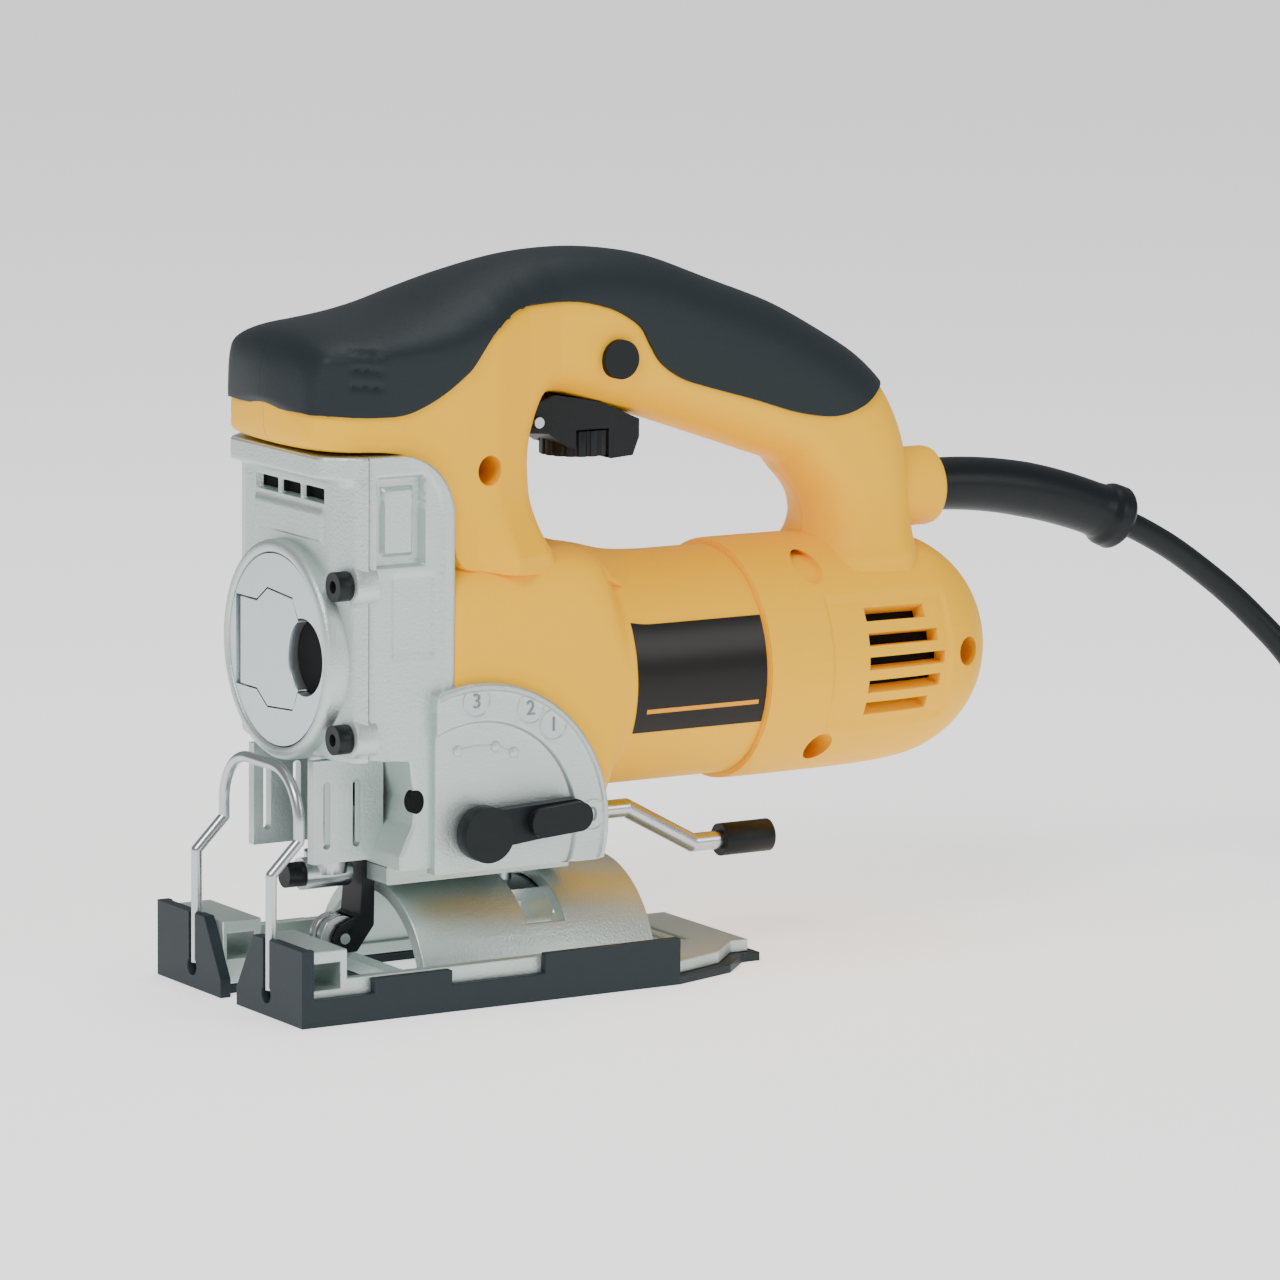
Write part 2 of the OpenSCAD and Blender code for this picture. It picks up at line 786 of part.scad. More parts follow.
module bearing_plate() {
    color(alloy) difference() {
        union() {
            box(plate_x, plate_x + plate_t, -23, 23, motor_z - 24, gear_z + 10);
            along_x(plate_x, plate_x + bearing_w + 1, 0, motor_z, bearing_r + 3);
        }
        along_x(plate_x - 1, plate_x + bearing_w, 0, motor_z, bearing_r + seat);
        along_x(plate_x, plate_x + bearing_w + 2, 0, motor_z, bearing_r - 3);
        along_x(plate_x - 1, plate_x + plate_t + 1, 0, gear_z, axle_d / 2 + seat);
    }
}

module bearing(x) {
    difference() {
        along_x(x, x + bearing_w - seat, 0, motor_z, bearing_r);
        along_x(x - 1, x + bearing_w + 1, 0, motor_z, shaft_d / 2 + run);
    }
}

module front_bearing() {
    color(steel) bearing(front_bearing_x);
}

module rear_bearing() {
    color(steel) bearing(rear_bearing_x);
}

module armature_shaft() {
    color(steel) union() {
        along_x(shaft_x0, shaft_x1, 0, motor_z, shaft_d / 2);
        translate([gear_x0, 0, motor_z]) rotate([90, 0, 90]) linear_extrude(height = gear_w + 3)
            rotate(90) gear_outline(pinion_teeth, 0.5);
    }
}

module on_shaft(x0, x1, r) {
    difference() {
        along_x(x0, x1, 0, motor_z, r);
        along_x(x0 - 1, x1 + 1, 0, motor_z, shaft_d / 2);
    }
}

module rotor_core() {
    color(steel) difference() {
        on_shaft(stator_x + 1, stator_x + stator_l - 1, rotor_r);
        for (i = [0:11])
            translate([stator_x, 0, motor_z]) rotate([i * 30, 0, 0])
                translate([0, 0, rotor_r - 6]) translate([0, -0.8, 0]) cube([stator_l, 1.6, 8]);
    }
}

module commutator() {
    color(copper) difference() {
        on_shaft(comm_x, comm_x + comm_l, comm_r);
        for (i = [0:11])
            translate([comm_x + 2, 0, motor_z]) rotate([i * 30, 0, 0])
                translate([0, -0.3, comm_r - 1]) cube([comm_l, 0.6, 2]);
    }
}

fan_r = 26;

module cooling_fan() {
    color(charcoal) union() {
        on_shaft(44, 47, fan_r);
        on_shaft(44, 56, 9);
        for (i = [0:10])
            translate([46.9, 0, motor_z]) rotate([i * 360 / 11, 0, 0])
                translate([0, -0.8, 8]) cube([8, 1.6, fan_r - 9]);
    }
}

module stator() {
    color(steel) difference() {
        along_x(stator_x, stator_x + stator_l, 0, motor_z, stator_d / 2);
        along_x(stator_x - 1, stator_x + stator_l + 1, 0, motor_z, stator_bore / 2);
    }
}

brush_x0 = comm_x + 4;
brush_l = 7;

module brush_holders() {
    color(bronze)
        for (s = [-1, 1])
            translate([0, 0, motor_z]) rotate([s > 0 ? 0 : 180, 0, 0]) difference() {
                box(brush_x0 - 1.5, brush_x0 + brush_l + 1.5, -5, 5, comm_r + 2, 27);
                box(brush_x0 - seat, brush_x0 + brush_l + seat, -3.5 - seat, 3.5 + seat, comm_r, 25);
            }
}

module brushes() {
    color(black)
        for (s = [-1, 1])
            translate([0, 0, motor_z]) rotate([s > 0 ? 0 : 180, 0, 0])
                box(brush_x0, brush_x0 + brush_l, -3.5, 3.5, comm_r + run, comm_r + 11);
}

// ---- Housings ----

body_x1 = 77;
body_bottom = 36;
body_top = 118.5;

module motor_housing() {
    color(yellow) difference() {
        union() {
            along_x(barrel_x0, barrel_x1 - seat, 0, motor_z, motor_r);
            box(barrel_x0, body_x1, -case_hw, case_hw, body_bottom, body_top - seat);
        }
        sweep_cut();
        slab(-60, 60) quadrant_profile(quadrant_r + seat);
        // Motor room
        along_x(barrel_x0 - 1, stator_x, 0, motor_z, motor_r - wall);
        along_x(stator_x - 1, barrel_x1 + 1, 0, motor_z, stator_d / 2 + seat);
        along_x(stator_x + stator_l, barrel_x1 + 1, 0, motor_z, motor_r - wall);
        box(barrel_x0 - 1, stator_x - 4, -case_hw + wall, case_hw - wall, sweep_r + 1, body_top - wall);
        // Open top that joins the handle
        box(barrel_x0 - 1, 40, -case_hw + wall, case_hw - wall, 90, body_top + 1);
        // Way out for the bevel lever
        box(stud_x - 9, body_x1 + 2, -12.5, 12.5, rail_top + 2, sweep_r + 4);
    }
}

opening_rear = 152;

// Side outline of the case's rounded top rear corner, with the shells seated on it
corner_r = case_x1 - 4;
case_seat = concat([[-18, case_top + seat]], arc(4, case_top - corner_r, corner_r + seat, 90, 0, 8),
    [[case_x1 + seat, body_top]]);

module loop_outline() {
    polygon(concat(case_seat, [
        [body_x1 + seat, body_top], [body_x1 + seat, motor_z + motor_r + 1],
        [barrel_x1, motor_z + motor_r + 1], [barrel_x1, 80], [184, 80],
        [184.5, 111], [183, 140], [175, 159 - handle_drop],
        [151, 173 - handle_drop], [138, 180 - handle_drop], [118, 188 - handle_drop],
        [98, 196 - handle_drop], [76, 199 - handle_drop], [54, 197.5 - handle_drop],
        [32, 191.5 - handle_drop], [18, 186.5 - handle_drop], [4, 183 - handle_drop],
        [-13, 181.5 - handle_drop], [-19, 176 - handle_drop]
    ]));
}

module loop_opening() {
    polygon([
        [56, 142], [57, 132], [62, 120], [66, motor_z + motor_r + 1], [148, motor_z + motor_r + 1],
        [opening_rear, 119], [150, 125], [143, 134], [140, 137], [118, 144.5], [102, 150],
        [62, 160], [57, 152]
    ]);
}

module loop_profile(d) {
    difference() {
        offset(delta = -d) loop_outline();
        offset(delta = d) loop_opening();
    }
}

module head_profile(d) {
    offset(delta = -d) polygon(concat(case_seat, [
        [29, body_top], [44, 124], [54, 130], [56, 150], [66, 176 - handle_drop], [60, 190 - handle_drop],
        [32, 189 - handle_drop], [18, 184 - handle_drop], [-13, 179 - handle_drop], [-19, 174 - handle_drop]
    ]));
}

module head_plan(d) {
    hw = head_hw;
    offset(delta = -d) polygon([
        [-19, -hw + 17], [-17, -hw + 9], [-10, -hw + 2], [2, -hw], [26, -hw], [48, -hw + 10], [66, -handle_hw],
        [66, handle_hw], [48, hw - 10], [26, hw], [2, hw], [-10, hw - 2], [-17, hw - 9], [-19, hw - 17]
    ]);
}

// Rear cup around the motor's brush end, grown inwards by d
module rear_cup(d) {
    r = motor_r + 1.5 - d;
    translate([0, 0, motor_z]) rotate([0, 90, 0]) rotate_extrude() polygon([
        [0, barrel_x1 + (d > 0 ? -1 : 0)], [r, barrel_x1 + (d > 0 ? -1 : 0)],
        [r, cup_x1 - 6], [r - 4, cup_x1 + 5 - d / 2],
        [r - 12, dome_x1 - 2 - d], [0, dome_x1 - d]
    ]);
}

module shell(d) {
    slab(-handle_hw + d, handle_hw - d) loop_profile(d);
    intersection() {
        slab(-head_hw - 1, head_hw + 1) head_profile(d);
        linear_extrude(height = 300) head_plan(d);
    }
    rear_cup(d);
}

module grip_region() {
    polygon([
        [-40, 159], [4, 158.5], [17, 164], [27, 170], [39, 181], [53, 185], [67, 185],
        [82, 180.5], [89, 173], [94, 164], [108, 159], [138, 150], [152, 149], [160, 152], [166, 158],
        [190, 170], [190, 240], [-40, 240]
    ]);
}

module side_half(s) {
    box(-100, 300, s > 0 ? 0 : -100, s > 0 ? 100 : 0, 0, 300);
}

module trigger_bay() {
    box(trigger_x - 6, 96, -trigger_hw - gap, trigger_hw + gap, 142, 166);
}

module housing_half(s) {
    intersection() {
        side_half(s);
        difference() {
            union() {
                difference() {
                    shell(0);
                    slab(-100, 100) grip_region();
                }
                intersection() {
                    shell(grip_t + seat);
                    slab(-100, 100) grip_region();
                }
                along_x(180, exit_x, 0, exit_z, exit_r);
                // Seat of the rear bearing
                along_x(rear_bearing_x - 1, rear_bearing_x + bearing_w + 2, 0, motor_z, motor_r);
            }
            shell_room();
            along_x(shaft_x0, shaft_x1 + 1, 0, motor_z, shaft_d / 2 + 1);
            along_x(rear_bearing_x - 2, rear_bearing_x + bearing_w, 0, motor_z, bearing_r + seat);
            trigger_bay();
            along_y(-100, 0, button_x, button_z, button_r + run);
            along_x(176, 300, 0, exit_z, sleeve_r + seat);
            along_x(165, 177, 0, exit_z, cord_d / 2 + 1);
            box(171 - seat, 175 + seat, -9 - seat, 9 + seat, exit_z - 9 - seat, exit_z + 9 + seat);
            // Cooling slots of the brush end
            for (i = [-2:2])
                box(156, 184 - abs(i) * 3, s > 0 ? 20 : -50, s > 0 ? 50 : -20,
                    motor_z + i * 7 - 1.8, motor_z + i * 7 + 1.8);
            for (p = screw_places)
                along_y(s > 0 ? 1 : -60, s > 0 ? 60 : -1, p[0], p[1], 2.2);
            for (p = screw_places)
                along_y(s > 0 ? 11 : -60, s > 0 ? 60 : -11, p[0], p[1], 3.6);
        }
    }
}

screw_places = [[34.2, 143.7], [141.2, 108.8], [142.7, 58.8], [189.9, 82.6]];
sleeve_r = 7.3;

// Hollow of the two handle shells: cavity, less the webs and screw bosses left standing
module shell_room() {
    difference() {
        shell(grip_t + wall);
        along_x(rear_bearing_x - 1, rear_bearing_x + bearing_w + 2, 0, motor_z, motor_r + 5);
        for (p = screw_places)
            along_y(-60, 60, p[0], p[1], 5.2);
        along_x(170, exit_x, 0, exit_z, exit_r);
    }
    // Open floor that joins the motor housing
    box(barrel_x0 - 1, 40, -head_hw + 6, head_hw - 6, 100, 128);
    box(-8, 14, -20, 20, case_top - 2, case_top + 8);
}

module handle_left() {
    color(yellow) housing_half(-1);
}

module handle_right() {
    color(yellow) housing_half(1);
}

module grip_half(s) {
    intersection() {
        side_half(s);
        difference() {
            intersection() {
                shell(0);
                slab(-100, 100) grip_region();
            }
            shell(grip_t);
            along_y(-100, 0, button_x, button_z, 9);
        }
    }
}

module grip_left() {
    color(charcoal) grip_half(-1);
}

module grip_right() {
    color(charcoal) grip_half(1);
}

label_t = 0.4;

module label_patch(s) {
    translate([79, 0, motor_z]) rotate([0, 90, 0])
        rotate_extrude(angle = 54, start = s < 0 ? 246 : 60)
            translate([motor_r + seat, 0]) square([label_t, 42]);
}

module label_left() {
    color(black) label_patch(-1);
}

module label_right() {
    color(black) label_patch(1);
}

module housing_screws() {
    color(steel)
        for (p = screw_places)
            for (s = [-1, 1])
                translate([0, s * 0.5, 0]) union() {
                    along_y(s > 0 ? 10.5 : -13.5, s > 0 ? 13.5 : -10.5, p[0], p[1], 3.5);
                    along_y(s > 0 ? 1 : -11, s > 0 ? 11 : -1, p[0], p[1], 2.1);
                }
}

// ---- Controls ----

module trigger_profile() {
    polygon([
        [trigger_x - 5, 144], [trigger_x - 3, 143], [trigger_x + 2, 150], [trigger_x + 8, 149.5], [70, 145.5],
        [84, 141.5], [91, 142], [93, 147], [93, 152], [80, 157.5], [66, 160], [60, 158], [trigger_x, 151]
    ]);
}

module trigger() {
    color(black) difference() {
        slab(-trigger_hw, trigger_hw) trigger_profile();
        translate([dial_x, 0, dial_z - dial_h / 2 - gap]) cylinder(r = dial_r + gap, h = dial_h + 2 * gap);
        translate([dial_x, 0, dial_z]) cylinder(r = 2 + run, h = 9);
        along_y(-20, 20, trigger_x + 4, 153, 1.5 + run);
    }
}

module trigger_pin() {
    color(steel) along_y(-trigger_hw - 2, trigger_hw + 2, trigger_x + 4, 153, 1.5);
}

spring_x = 86;
spring_z = 156.5;
switch_z = 163;

module trigger_spring() {
    color(steel) translate([spring_x, 0, spring_z]) difference() {
        cylinder(r = 3, h = switch_z - spring_z);
        translate([0, 0, -1]) cylinder(r = 2.2, h = 12);
    }
}

module speed_dial() {
    color(charcoal) union() {
        difference() {
            translate([dial_x, 0, dial_z - dial_h / 2]) cylinder(r = dial_r, h = dial_h);
            for (i = [0:17])
                translate([dial_x, 0, dial_z - dial_h]) rotate([0, 0, i * 20])
                    translate([dial_r + 0.3, 0, 0]) cylinder(r = 0.8, h = 2 * dial_h, $fn = 16);
        }
        translate([dial_x, 0, dial_z]) cylinder(r = 2, h = 8);
    }
}

module switch_body() {
    color(charcoal) difference() {
        box(62, 92, -8, 8, switch_z, switch_z + 17);
        along_y(-20, -5, button_x, button_z, button_r + 1);
    }
}

module lock_button() {
    color(black) union() {
        along_y(-handle_hw - 2.5, -handle_hw + 8, button_x, button_z, button_r);
    }
}

// ---- Mains lead ----

sleeve_end = [261, 0, 111.5];

module cord_clamp() {
    color(charcoal) difference() {
        box(171, 175, -9, 9, exit_z - 9, exit_z + 9);
        along_x(170, 176, 0, exit_z, cord_d / 2 + 0.2);
    }
}

// Point and direction of the drooping bend sleeve, t from 0 to 1
function sleeve_at(t) = [exit_x + (sleeve_end[0] - exit_x) * t, 0, exit_z - (exit_z - sleeve_end[2]) * t * t];

module cord_sleeve() {
    color(black) union() {
        along_x(178, exit_x + 1, 0, exit_z, sleeve_r);
        for (i = [0:11])
            rod(sleeve_at(i / 12), sleeve_at((i + 1) / 12), 7.6 - 0.8 * i / 12);
        rod(sleeve_at(0.95), sleeve_at(1), 8);
    }
}

coil_x = 400;
coil_y = -5;
coil_rows = 4;
coil_cols = 3;
coil_h = coil_rows * cord_d;

route = [
    [261, 0, 111.5], [270, 0, 107.3], [280, 0, 101.8], [290, 0, 95.2], [300, -1, 87.5], [309, -3, 79],
    [317, -6, 70], [323.5, -9.5, 60], [329, -13.5, 50], [334, -17.5, 40], [339.5, -22, 30.5],
    [346, -27, 21.5], [353, -32.5, 13.5], [361, -38.5, 7.5], [369, -44, 4.6]
];

// Sweeps a round section of radius r along a list of points, as one closed polyhedron
module tube(points, r, sides) {
    n = len(points);
    way = [for (i = [0:n - 1]) let (v = points[min(i + 1, n - 1)] - points[max(i - 1, 0)]) v / norm(v)];
    rings = [for (i = [0:n - 1]) let (u = cross(way[i], [0, 1, 0]) / norm(cross(way[i], [0, 1, 0])),
        w = cross(way[i], u)) for (k = [0:sides - 1])
            points[i] + r * (cos(360 * k / sides) * u + sin(360 * k / sides) * w)];
    walls = [for (i = [0:n - 2]) for (k = [0:sides - 1]) let (m = (k + 1) % sides)
        [i * sides + k, (i + 1) * sides + k, (i + 1) * sides + m, i * sides + m]];
    caps = [[for (k = [0:sides - 1]) k], [for (k = [sides - 1:-1:0]) (n - 1) * sides + k]];
    polyhedron(points = rings, faces = concat(walls, caps), convexity = 8);
}

module cord() {
    color(black) tube(route, cord_d / 2, 12);
}

module cord_coil() {
    color(black) translate([coil_x, coil_y, 0]) rotate_extrude()
        translate([coil_d / 2 - coil_cols * cord_d / 2, 0]) square([coil_cols * cord_d, coil_h]);
}

plug_l = 36;
plug_w = 22;
plug_h = 15;

module plug() {
    translate([coil_x + coil_d / 2 - plug_w / 2, coil_y - plug_l / 2, coil_h + seat]) {
        color(black) cube([plug_w, plug_l, plug_h]);
        color(bronze)
            for (s = [-1, 1])
                translate([plug_w / 2 + s * 6.35 - 0.75, plug_l - 1, plug_h / 2 - 3.2]) cube([1.5, 18, 6.4]);
    }
}

shoe_plate();
shoe_cover();
finger_guard();
shoe_clamp();
clamp_stud();
bevel_lever();
lever_tip();
gear_case();
gear_case_cover();
gear_case_screws();
nose_guide();
release_knob();
knob_tab();
knob_hinge_pin();
plunger();
lower_bushing();
upper_bushing();
blade_clamp();
clamp_screw();
roller_arm();
roller_pivot();
guide_roller();
roller_pin();
orbit_lever();
orbit_shaft();
drive_gear();
gear_axle();
bearing_plate();
front_bearing();
rear_bearing();
armature_shaft();
rotor_core();
commutator();
cooling_fan();
stator();
brush_holders();
brushes();
motor_housing();
handle_left();
handle_right();
grip_left();
grip_right();
label_left();
label_right();
housing_screws();
trigger();
trigger_pin();
trigger_spring();
speed_dial();
switch_body();
lock_button();
cord_clamp();
cord_sleeve();
cord();
cord_coil();
plug();
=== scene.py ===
import bmesh
import bpy
import math
import numpy as np
from mathutils import Matrix, Vector


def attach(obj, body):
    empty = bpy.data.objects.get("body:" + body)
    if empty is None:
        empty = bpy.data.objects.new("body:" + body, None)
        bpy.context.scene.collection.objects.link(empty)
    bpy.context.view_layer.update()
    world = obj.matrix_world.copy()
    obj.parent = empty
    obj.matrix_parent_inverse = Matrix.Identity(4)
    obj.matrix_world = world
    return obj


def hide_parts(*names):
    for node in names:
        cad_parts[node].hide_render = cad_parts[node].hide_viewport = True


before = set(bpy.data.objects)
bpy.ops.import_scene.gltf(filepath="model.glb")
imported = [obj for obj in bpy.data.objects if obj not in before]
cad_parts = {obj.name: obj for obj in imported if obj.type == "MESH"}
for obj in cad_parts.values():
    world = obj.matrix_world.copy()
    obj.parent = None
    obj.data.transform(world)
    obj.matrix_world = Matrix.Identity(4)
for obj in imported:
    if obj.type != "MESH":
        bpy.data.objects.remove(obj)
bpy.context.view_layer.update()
MM = 0.001


# ---- Camera and stage ----
# The jigsaw stands on a pale paper sweep and is lit by large soft boxes.
# The lens is long, so the object is seen nearly in parallel projection.

camera_place = (-0.9276, -1.6622, 0.4055)
camera_right = (0.85142, -0.52441, 0.00861)
camera_up = (0.07670, 0.14074, 0.98707)
camera_back = (-0.51884, -0.83975, 0.16005)
lens_mm = 201.0
sensor_mm = 36.0

cam_data = bpy.data.cameras.new("camera")
cam_data.lens = lens_mm
cam_data.sensor_width = sensor_mm
camera = bpy.data.objects.new("camera", cam_data)
bpy.context.scene.collection.objects.link(camera)
camera.matrix_world = Matrix([
    [camera_right[i], camera_up[i], camera_back[i], camera_place[i]] for i in range(3)
] + [[0, 0, 0, 1]])
bpy.context.scene.camera = camera


def linear(hex_colour):
    """sRGB hex colour as linear red, green, blue and alpha."""
    values = [int(hex_colour[i:i + 2], 16) / 255 for i in (1, 3, 5)]
    return [v / 12.92 if v <= 0.04045 else ((v + 0.055) / 1.055) ** 2.4 for v in values] + [1.0]


def add_node(tree, kind, links=None, **settings):
    """Adds a shader node; settings are attributes or input values, links are {input: output socket}."""
    node = tree.nodes.new(kind)
    for key, value in settings.items():
        if hasattr(node, key):
            setattr(node, key, value)
        else:
            node.inputs[key.replace("_", " ")].default_value = value
    for key, socket in (links or {}).items():
        tree.links.new(socket, node.inputs[key])
    return node


def plain_material(name, colour, roughness, metallic=0.0, grain_mm=0.0, grain_depth=0.0, mottle=0.0):
    """Principled material with an optional surface grain of a real size and a slight mottle in roughness."""
    material = bpy.data.materials.new(name)
    material.use_nodes = True
    tree = material.node_tree
    surface = tree.nodes["Principled BSDF"]
    surface.inputs["Base Color"].default_value = linear(colour)
    surface.inputs["Roughness"].default_value = roughness
    surface.inputs["Metallic"].default_value = metallic
    surface.inputs["Specular IOR Level"].default_value = 0.5 if metallic else 0.22
    place = add_node(tree, "ShaderNodeTexCoord")
    if grain_mm:
        grain = add_node(tree, "ShaderNodeTexNoise", {"Vector": place.outputs["Object"]},
                         Scale=1000.0 / grain_mm, Detail=2.0, Roughness=0.6)
        bump = add_node(tree, "ShaderNodeBump", {"Height": grain.outputs["Fac"]},
                        Strength=grain_depth, Distance=0.0002)
        tree.links.new(bump.outputs["Normal"], surface.inputs["Normal"])
    if mottle:
        cloud = add_node(tree, "ShaderNodeTexNoise", {"Vector": place.outputs["Object"]},
                         Scale=60.0, Detail=4.0)
        span = add_node(tree, "ShaderNodeMapRange", {"Value": cloud.outputs["Fac"]})
        span.inputs["To Min"].default_value = max(roughness - mottle, 0.02)
        span.inputs["To Max"].default_value = roughness + mottle
        tree.links.new(span.outputs["Result"], surface.inputs["Roughness"])
    return material


def mesh_object(name, points, faces, material, smooth=True):
    """Mesh from an array of points and a list of faces, with every face turned outward."""
    data = bpy.data.meshes.new(name)
    data.from_pydata(np.asarray(points, dtype=float).reshape(-1, 3).tolist(), [], faces)
    data.validate()
    work = bmesh.new()
    work.from_mesh(data)
    bmesh.ops.remove_doubles(work, verts=work.verts, dist=1e-7)
    bmesh.ops.dissolve_degenerate(work, edges=work.edges, dist=1e-7)
    bmesh.ops.recalc_face_normals(work, faces=work.faces)
    work.to_mesh(data)
    work.free()
    data.polygons.foreach_set("use_smooth", [smooth] * len(data.polygons))
    if smooth:
        data.set_sharp_from_angle(angle=math.radians(42))
    obj = bpy.data.objects.new(name, data)
    bpy.context.scene.collection.objects.link(obj)
    if material:
        data.materials.append(material)
    return obj


def grid_faces(n, m, wrap_u=False, wrap_v=False):
    """Quads from point (i, j) to (i + 1, j + 1) of an n by m grid, closed along u or v where asked."""
    i = np.arange(n if wrap_u else n - 1)[:, None]
    j = np.arange(m if wrap_v else m - 1)[None, :]
    row, next_row = i * m, (i + 1) % n * m
    next_j = (j + 1) % m
    quads = np.stack([row + j, next_row + j, next_row + next_j, row + next_j], axis=2)
    return quads.reshape(-1, 4).tolist()


def grid_object(name, points, material, wrap_u=False, wrap_v=False, caps=False, smooth=True):
    """Surface through a grid of points in millimetres; caps close the first and last rows of u."""
    points = np.asarray(points, dtype=float)
    n, m = points.shape[:2]
    faces = grid_faces(n, m, wrap_u, wrap_v)
    if caps:
        faces.append(tuple(range(m)))
        faces.append(tuple((n - 1) * m + j for j in range(m)))
    return mesh_object(name, points * MM, faces, material, smooth)


# Matt paper: it glows a little, so that the sweep reads as evenly lit
paper = plain_material("pale_paper", "#FFFFFF", 0.9)
paper.node_tree.nodes["Principled BSDF"].inputs["Emission Color"].default_value = (1.0, 1.0, 1.0, 1.0)
paper.node_tree.nodes["Principled BSDF"].inputs["Emission Strength"].default_value = 0.8
floor_corners = [[-12, -12, 0], [12, -12, 0], [12, 30, 0], [-12, 30, 0]]
floor = mesh_object("floor", floor_corners, [(0, 1, 2, 3)], paper, False)

world = bpy.data.worlds.new("studio")
world.use_nodes = True
world.node_tree.nodes["Background"].inputs["Color"].default_value = (1.0, 1.0, 1.0, 1.0)
world.node_tree.nodes["Background"].inputs["Strength"].default_value = 0.34
bpy.context.scene.world = world


def soft_box(name, place, target, size, watts):
    """Square area light at a place, turned towards a target."""
    data = bpy.data.lights.new(name, "AREA")
    data.energy = watts
    data.size = size
    lamp = bpy.data.objects.new(name, data)
    bpy.context.scene.collection.objects.link(lamp)
    way = Vector(target) - Vector(place)
    lamp.rotation_euler = way.to_track_quat("-Z", "Y").to_euler()
    lamp.location = place
    return lamp


key_light = soft_box("key_light", (-1.1, -0.9, 1.5), (0.05, 0, 0.08), 0.8, 24)
top_light = soft_box("top_light", (0.3, 0.2, 1.6), (0.08, 0, 0.1), 0.8, 9)
side_light = soft_box("side_light", (0.9, -1.2, 0.7), (0.08, 0, 0.08), 0.6, 5)


# ---- Mains lead ----
# Black PVC lead of 7.5 mm, held in a rubber bend sleeve with a collar where it leaves the handle.
# It droops to the bench and ends in a coil of four layers with a two-pin plug laid on top.

# PVC jacket: soft gloss and next to no grain. Moulded rubber: a shade glossier, from a polished tool
black_pvc = plain_material("black_pvc", "#14191B", 0.42, grain_mm=0.8, grain_depth=0.15)
black_rubber = plain_material("black_moulded_rubber", "#12171A", 0.38, grain_mm=0.6, grain_depth=0.2)
plated_brass = plain_material("plated_brass", "#C9C3B4", 0.25, metallic=1.0)

# Width of the lead, then the middle of its coil, the radii of the turns in a layer and the layers
cord_mm = 7.5
coil_x, coil_y = 400.0, -5.0
coil_columns = (49.5, 42.0, 34.5)
coil_rows = 4


def resample(points, count):
    """Points spread evenly along a polyline."""
    points = np.asarray(points, dtype=float)
    steps = np.linalg.norm(np.diff(points, axis=0), axis=1)
    along = np.concatenate([[0], np.cumsum(steps)])
    t = np.linspace(0, along[-1], count)
    return np.stack([np.interp(t, along, points[:, k]) for k in range(points.shape[1])], axis=1)


def spline(points, count):
    """Catmull-Rom curve through the points, resampled evenly."""
    p = np.asarray(points, dtype=float)
    p = np.vstack([2 * p[0] - p[1], p, 2 * p[-1] - p[-2]])
    out = []
    for i in range(1, len(p) - 2):
        t = np.linspace(0, 1, 24, endpoint=False)[:, None]
        a, b, c, d = p[i - 1], p[i], p[i + 1], p[i + 2]
        slope = (c - a) * t
        bend = (2 * a - 5 * b + 4 * c - d) * t ** 2
        twist = (3 * b - 3 * c + d - a) * t ** 3
        out.append(0.5 * (2 * b + slope + bend + twist))
    out.append(p[-2:-1])
    return resample(np.vstack(out), count)


droop = [[261, 0, 111.5], [270, 0, 107.3], [280, 0, 101.8], [290, 0, 95.2], [300, -1, 87.5], [309, -3, 79],
         [317, -6, 70], [323.5, -9.5, 60], [329, -13.5, 50], [334, -17.5, 40], [339.5, -22, 30.5],
         [346, -27, 21.5], [353, -32.5, 13.5], [361, -38.5, 7.5], [367, -42.6, 4.6]]


def coil_path():
    """Centreline of the coil: full turns, each stepping sideways or up in the last sixth of the turn."""
    turns = []
    for row in range(coil_rows):
        radii = coil_columns if row % 2 == 0 else coil_columns[::-1]
        turns += [(r, cord_mm * (row + 0.5)) for r in radii]
    path = []
    for k, (r, z) in enumerate(turns):
        r_next, z_next = turns[min(k + 1, len(turns) - 1)]
        share = 1.0 if k < len(turns) - 1 else 0.18
        for a in np.linspace(0, 360 * share, int(72 * share), endpoint=False):
            t = min(max((a - 300) / 60, 0), 1)
            t = t * t * (3 - 2 * t)
            angle = math.radians(a - 125)
            radius = r + (r_next - r) * t
            x = coil_x + radius * math.cos(angle)
            y = coil_y + radius * math.sin(angle)
            path.append([x, y, z + (z_next - z) * t])
    return path


plug_x = coil_x + 42.0
plug_z = coil_rows * cord_mm + 7.5
rise = [[coil_x + r * math.cos(math.radians(a)), coil_y + r * math.sin(math.radians(a)), z]
        for a, r, z in ((-52, 49, 27.2), (-45, 47.5, 29.8), (-38, 45, 33.2), (-32, 43, 36.2))]
line = spline(droop + coil_path() + rise + [[plug_x, coil_y - 20, plug_z]], 2600)
line_m = line * MM

cord_data = bpy.data.curves.new("cord", "CURVE")
cord_data.dimensions = "3D"
cord_data.bevel_depth = cord_mm / 2 * MM
cord_data.bevel_resolution = 4
cord_data.use_fill_caps = True
run_of_cord = cord_data.splines.new("POLY")
run_of_cord.points.add(len(line_m) - 1)
run_of_cord.points.foreach_set("co", np.column_stack([line_m, np.ones(len(line_m))]).ravel())
run_of_cord.use_smooth = True
cord_data.materials.append(black_pvc)
cord_object = bpy.data.objects.new("mains_cord", cord_data)
bpy.context.scene.collection.objects.link(cord_object)
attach(cord_object, "body")
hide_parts("cord", "cord_coil")


